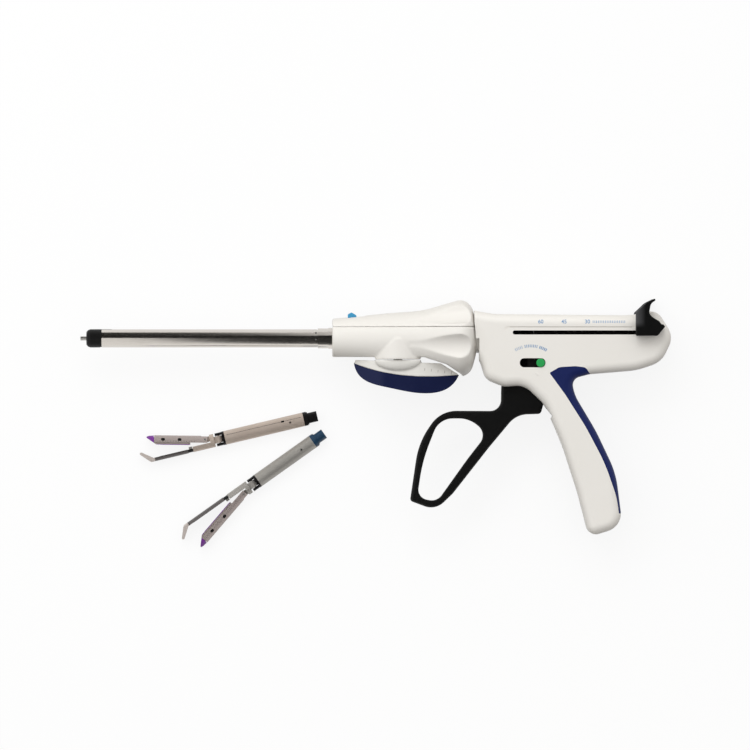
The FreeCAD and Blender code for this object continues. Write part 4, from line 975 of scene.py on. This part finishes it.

# %% [markdown]
# ## Marks on the loading units
# A row of fine ticks runs along the upper unit's channel beside the staples, the lower one has only
# a few. The construction has two small round holes in each channel, and a dark plate of painted shade,
# larger than the hole, lies over each so that it shows from afar. The dark line and spot on the upper
# unit's sleeve are laid on where the photograph shows them. They are taken as a seam and a hole: the
# spot is a black plate of painted shade, and the construction's own small hole in the sleeve lies
# beside them.

# %% Ticks, plates over the holes and the sleeve's seam
TICKS = {"upper": (14, 2.3), "lower": (4, 8.0)}
HOLE_SHARES = (0.4, 0.66)
HOLE_Y = -2.4
for unit, stand in UNIT_STANDS.items():
    hinge_x = HINGE_X[unit]
    jaw_stand = open_jaw(stand, hinge_x)
    tick_count, tick_pitch = TICKS[unit]
    ticks = rows_tree.grow(
        bar(0.9, 0.26), "dark_steel", Columns=tick_count, Rows=1, Pitch=tick_pitch * MM,
        RowGap=0.0, Stagger=0.0,
    )
    ticks = let_fall(ticks, unit + "_unit_cartridge_channel", jaw_stand @ moved(hinge_x + 9.0, -0.9))
    hang(ticks, unit + "_channel_ticks", unit + "_cartridge_jaw", "dark_steel")
    shade_plates = []
    for share in HOLE_SHARES:
        spot = jaw_stand @ moved(hinge_x + share * JAW_LENGTH[unit], HOLE_Y)
        # A black plate of painted shade over the channel's hole.
        shade_pane = oval(3.4, 2.4, 0.02)
        shade_plates.append(let_fall(shade_pane, unit + "_unit_cartridge_channel", spot, 0.12, bending=False))
    for order, shade_plate in enumerate(shade_plates):
        name = unit + "_window_" + str(order + 1)
        mark(shade_plate, name, unit + "_cartridge_jaw", "satin_tube", "black_plastic")

SEAM_Y = -2.25
seam = let_fall(bar(0.24, 66.0), "upper_unit_tube", UNIT_STANDS["upper"] @ moved(47.0, SEAM_Y))
hang(seam, "sleeve_seam", "upper_unit", "dark_steel")
# A black plate of painted shade where the sleeve is taken to have a hole; nothing is cut.
hole_shade_spot = let_fall(oval(2.9, 1.5, 0.02), "upper_unit_tube", UNIT_STANDS["upper"] @ moved(30.2, SEAM_Y))
mark(hole_shade_spot, "sleeve_hole", "upper_unit", "satin_tube", "black_plastic")

# %% [markdown]
# ## Floor and background
# The object lies on a white sweep. The floor is a plain diffuse surface that catches the shadows.
# What the camera and the mirrors see of it is mixed with an even white, so the ground looks as
# bright as the rest without any more light falling on the object. The light that it throws back up
# is that of a darker table, or the undersides would be as bright as the tops.

# %% Floor
FLOOR_HALF = 3.0
WHITE_SHARE = 0.86


def sees_background(graph):
    """1 for the rays of the camera, of gloss and of glass, and 0 for the ones that light things."""
    path = graph.add("ShaderNodeLightPath")
    camera = graph.number(path, "Is Camera Ray")
    mirror = graph.number(path, "Is Glossy Ray")
    clear = graph.number(path, "Is Transmission Ray")
    return (camera + mirror + clear).at_most(1.0)


floor_finish = Finish("studio_sweep", Roughness=0.9)
SEEN_WHITE = [0.96] * 3
LIGHTING_GREY = [0.36, 0.34, 0.3]
seen = sees_background(floor_finish)
floor_finish.paint("Base Color", floor_finish.blend(seen, LIGHTING_GREY, SEEN_WHITE))
even_white = floor_finish.add("ShaderNodeEmission", None, {"Color": (1, 1, 1, 1), "Strength": 1.0})
floor_mix = floor_finish.add(
    "ShaderNodeMixShader",
    None,
    {0: seen * WHITE_SHARE, 1: floor_finish.surface.outputs[0], 2: even_white.outputs[0]},
)
floor_output = floor_finish.tree.nodes["Material Output"]
floor_finish.tree.links.new(floor_mix.outputs[0], floor_output.inputs["Surface"])

floor_shape = bmesh.new()
corners = [(-FLOOR_HALF, -FLOOR_HALF), (FLOOR_HALF, -FLOOR_HALF), (FLOOR_HALF, FLOOR_HALF),
           (-FLOOR_HALF, FLOOR_HALF)]
floor_shape.faces.new([floor_shape.verts.new((x, y, frame_low.z - 0.0002)) for x, y in corners])
floor_mesh = bpy.data.meshes.new("floor")
floor_shape.to_mesh(floor_mesh)
floor_mesh.materials.append(floor_finish.material)
floor = bpy.data.objects.new("floor", floor_mesh)
bpy.context.scene.collection.objects.link(floor)

# %% [markdown]
# ## World
# The room is brightest overhead and falls off towards the horizon, as under a large soft box, which
# lets the rounded undersides go a little darker. It is also brighter beyond the object's upper edge.
# The camera and the mirrors see it as plain white, and everything else at the level that lights the
# object.

# %% World
HORIZON_LEVEL = 0.03
OVERHEAD_RISE = 1.04
FAR_SIDE_RISE = 0.5
world = bpy.data.worlds.new("studio")
bpy.context.scene.world = world
world.use_nodes = True
room = Graph(world.node_tree)
room_light = world.node_tree.nodes["Background"]
room_light.inputs["Color"].default_value = (1.0, 0.99, 0.975, 1.0)
toward = room.add("ShaderNodeTexCoord").outputs["Generated"]
toward = room.add("ShaderNodeSeparateXYZ", None, {"Vector": toward})
overhead = room.number(toward, "Z").at_least(0.0)
far_side = room.number(toward, "Y")
lighting = overhead * OVERHEAD_RISE + far_side * FAR_SIDE_RISE + HORIZON_LEVEL
seen = sees_background(room)
level = seen + (1.0 - seen) * lighting.at_least(0.02)
room.tree.links.new(level.socket, room_light.inputs["Strength"])

# %% [markdown]
# ## Lamps
# A large soft lamp stands beyond the object's upper edge and gives the shells their bright tops,
# and a weaker one on the left opens the shadows. Their power is set so that the white shells come out
# just below full white. The lamps stay out of reflections, which belong to the room and the card.

# %% Soft lamps
def soft_lamp(name, place, aim, width, height, power, colour=(1.0, 1.0, 1.0)):
    data = bpy.data.lights.new(name, "AREA")
    data.shape = "RECTANGLE"
    data.size = width
    data.size_y = height
    data.energy = power
    data.color = colour
    lamp = bpy.data.objects.new(name, data)
    lamp.location = place
    lamp.visible_glossy = False
    lamp.rotation_euler = (Vector(aim) - Vector(place)).to_track_quat("-Z", "Y").to_euler()
    bpy.context.scene.collection.objects.link(lamp)


CENTRE = (0.179, -0.024, 0.0)
soft_lamp("key", (-0.1, 1.1, 1.2), CENTRE, 1.3, 0.8, 7.3, (0.94, 0.975, 1.0))
soft_lamp("fill", (-0.9, 0.3, 0.9), CENTRE, 0.8, 0.8, 2.5)

# %% [markdown]
# ## Black card
# Polished steel shows nothing but what stands round it. A photographer hangs a black card beside
# the camera so that a tube gets a dark core between bright edges, and so that black plastic stays
# black. The card here is seen by reflections only: it throws no shadow and the camera looks through
# it. Its edge runs askew over the shaft, which makes the dark core wander along the tube.

# %% Card for reflections
CARD_HEIGHT = 1.0
CARD_EDGE = [
    (-0.6, 6.5), (-0.6, 0.3), (0.01, 0.17), (0.14, -6.0), (1.5, -6.0), (1.5, 0.5), (0.14, 0.65),
    (0.01, 6.3),
]
felt = Finish("black_card", Roughness=0.9, Specular_IOR_Level=0.1)
felt.paint("Base Color", felt.blend(felt.noise(60.0), [0.012] * 3, [0.02] * 3))
card_shape = bmesh.new()
card_shape.faces.new([card_shape.verts.new((x, y, CARD_HEIGHT)) for x, y in CARD_EDGE])
bmesh.ops.triangulate(card_shape, faces=card_shape.faces)
card_mesh = bpy.data.meshes.new("card")
card_shape.to_mesh(card_mesh)
card_mesh.materials.append(felt.material)
card = bpy.data.objects.new("card", card_mesh)
for rays in ("camera", "diffuse", "transmission", "volume_scatter", "shadow"):
    setattr(card, "visible_" + rays, False)
bpy.context.scene.collection.objects.link(card)

# %% [markdown]
# ## Camera
# The photograph seems to look straight down, from far enough to show almost no perspective.
# The lens is worked out from the camera's height and the width of table that the picture shows.

# %% Camera
CAMERA_HEIGHT = 6.0
PICTURE_WIDTH = 0.4913
camera_data = bpy.data.cameras.new("camera")
camera_data.lens = camera_data.sensor_width * CAMERA_HEIGHT / PICTURE_WIDTH
camera = bpy.data.objects.new("camera", camera_data)
camera.location = (CENTRE[0], CENTRE[1], CAMERA_HEIGHT)
bpy.context.scene.collection.objects.link(camera)
bpy.context.scene.camera = camera
bpy.context.scene.view_settings.view_transform = "Standard"
print("lens in mm:", round(camera_data.lens, 1))
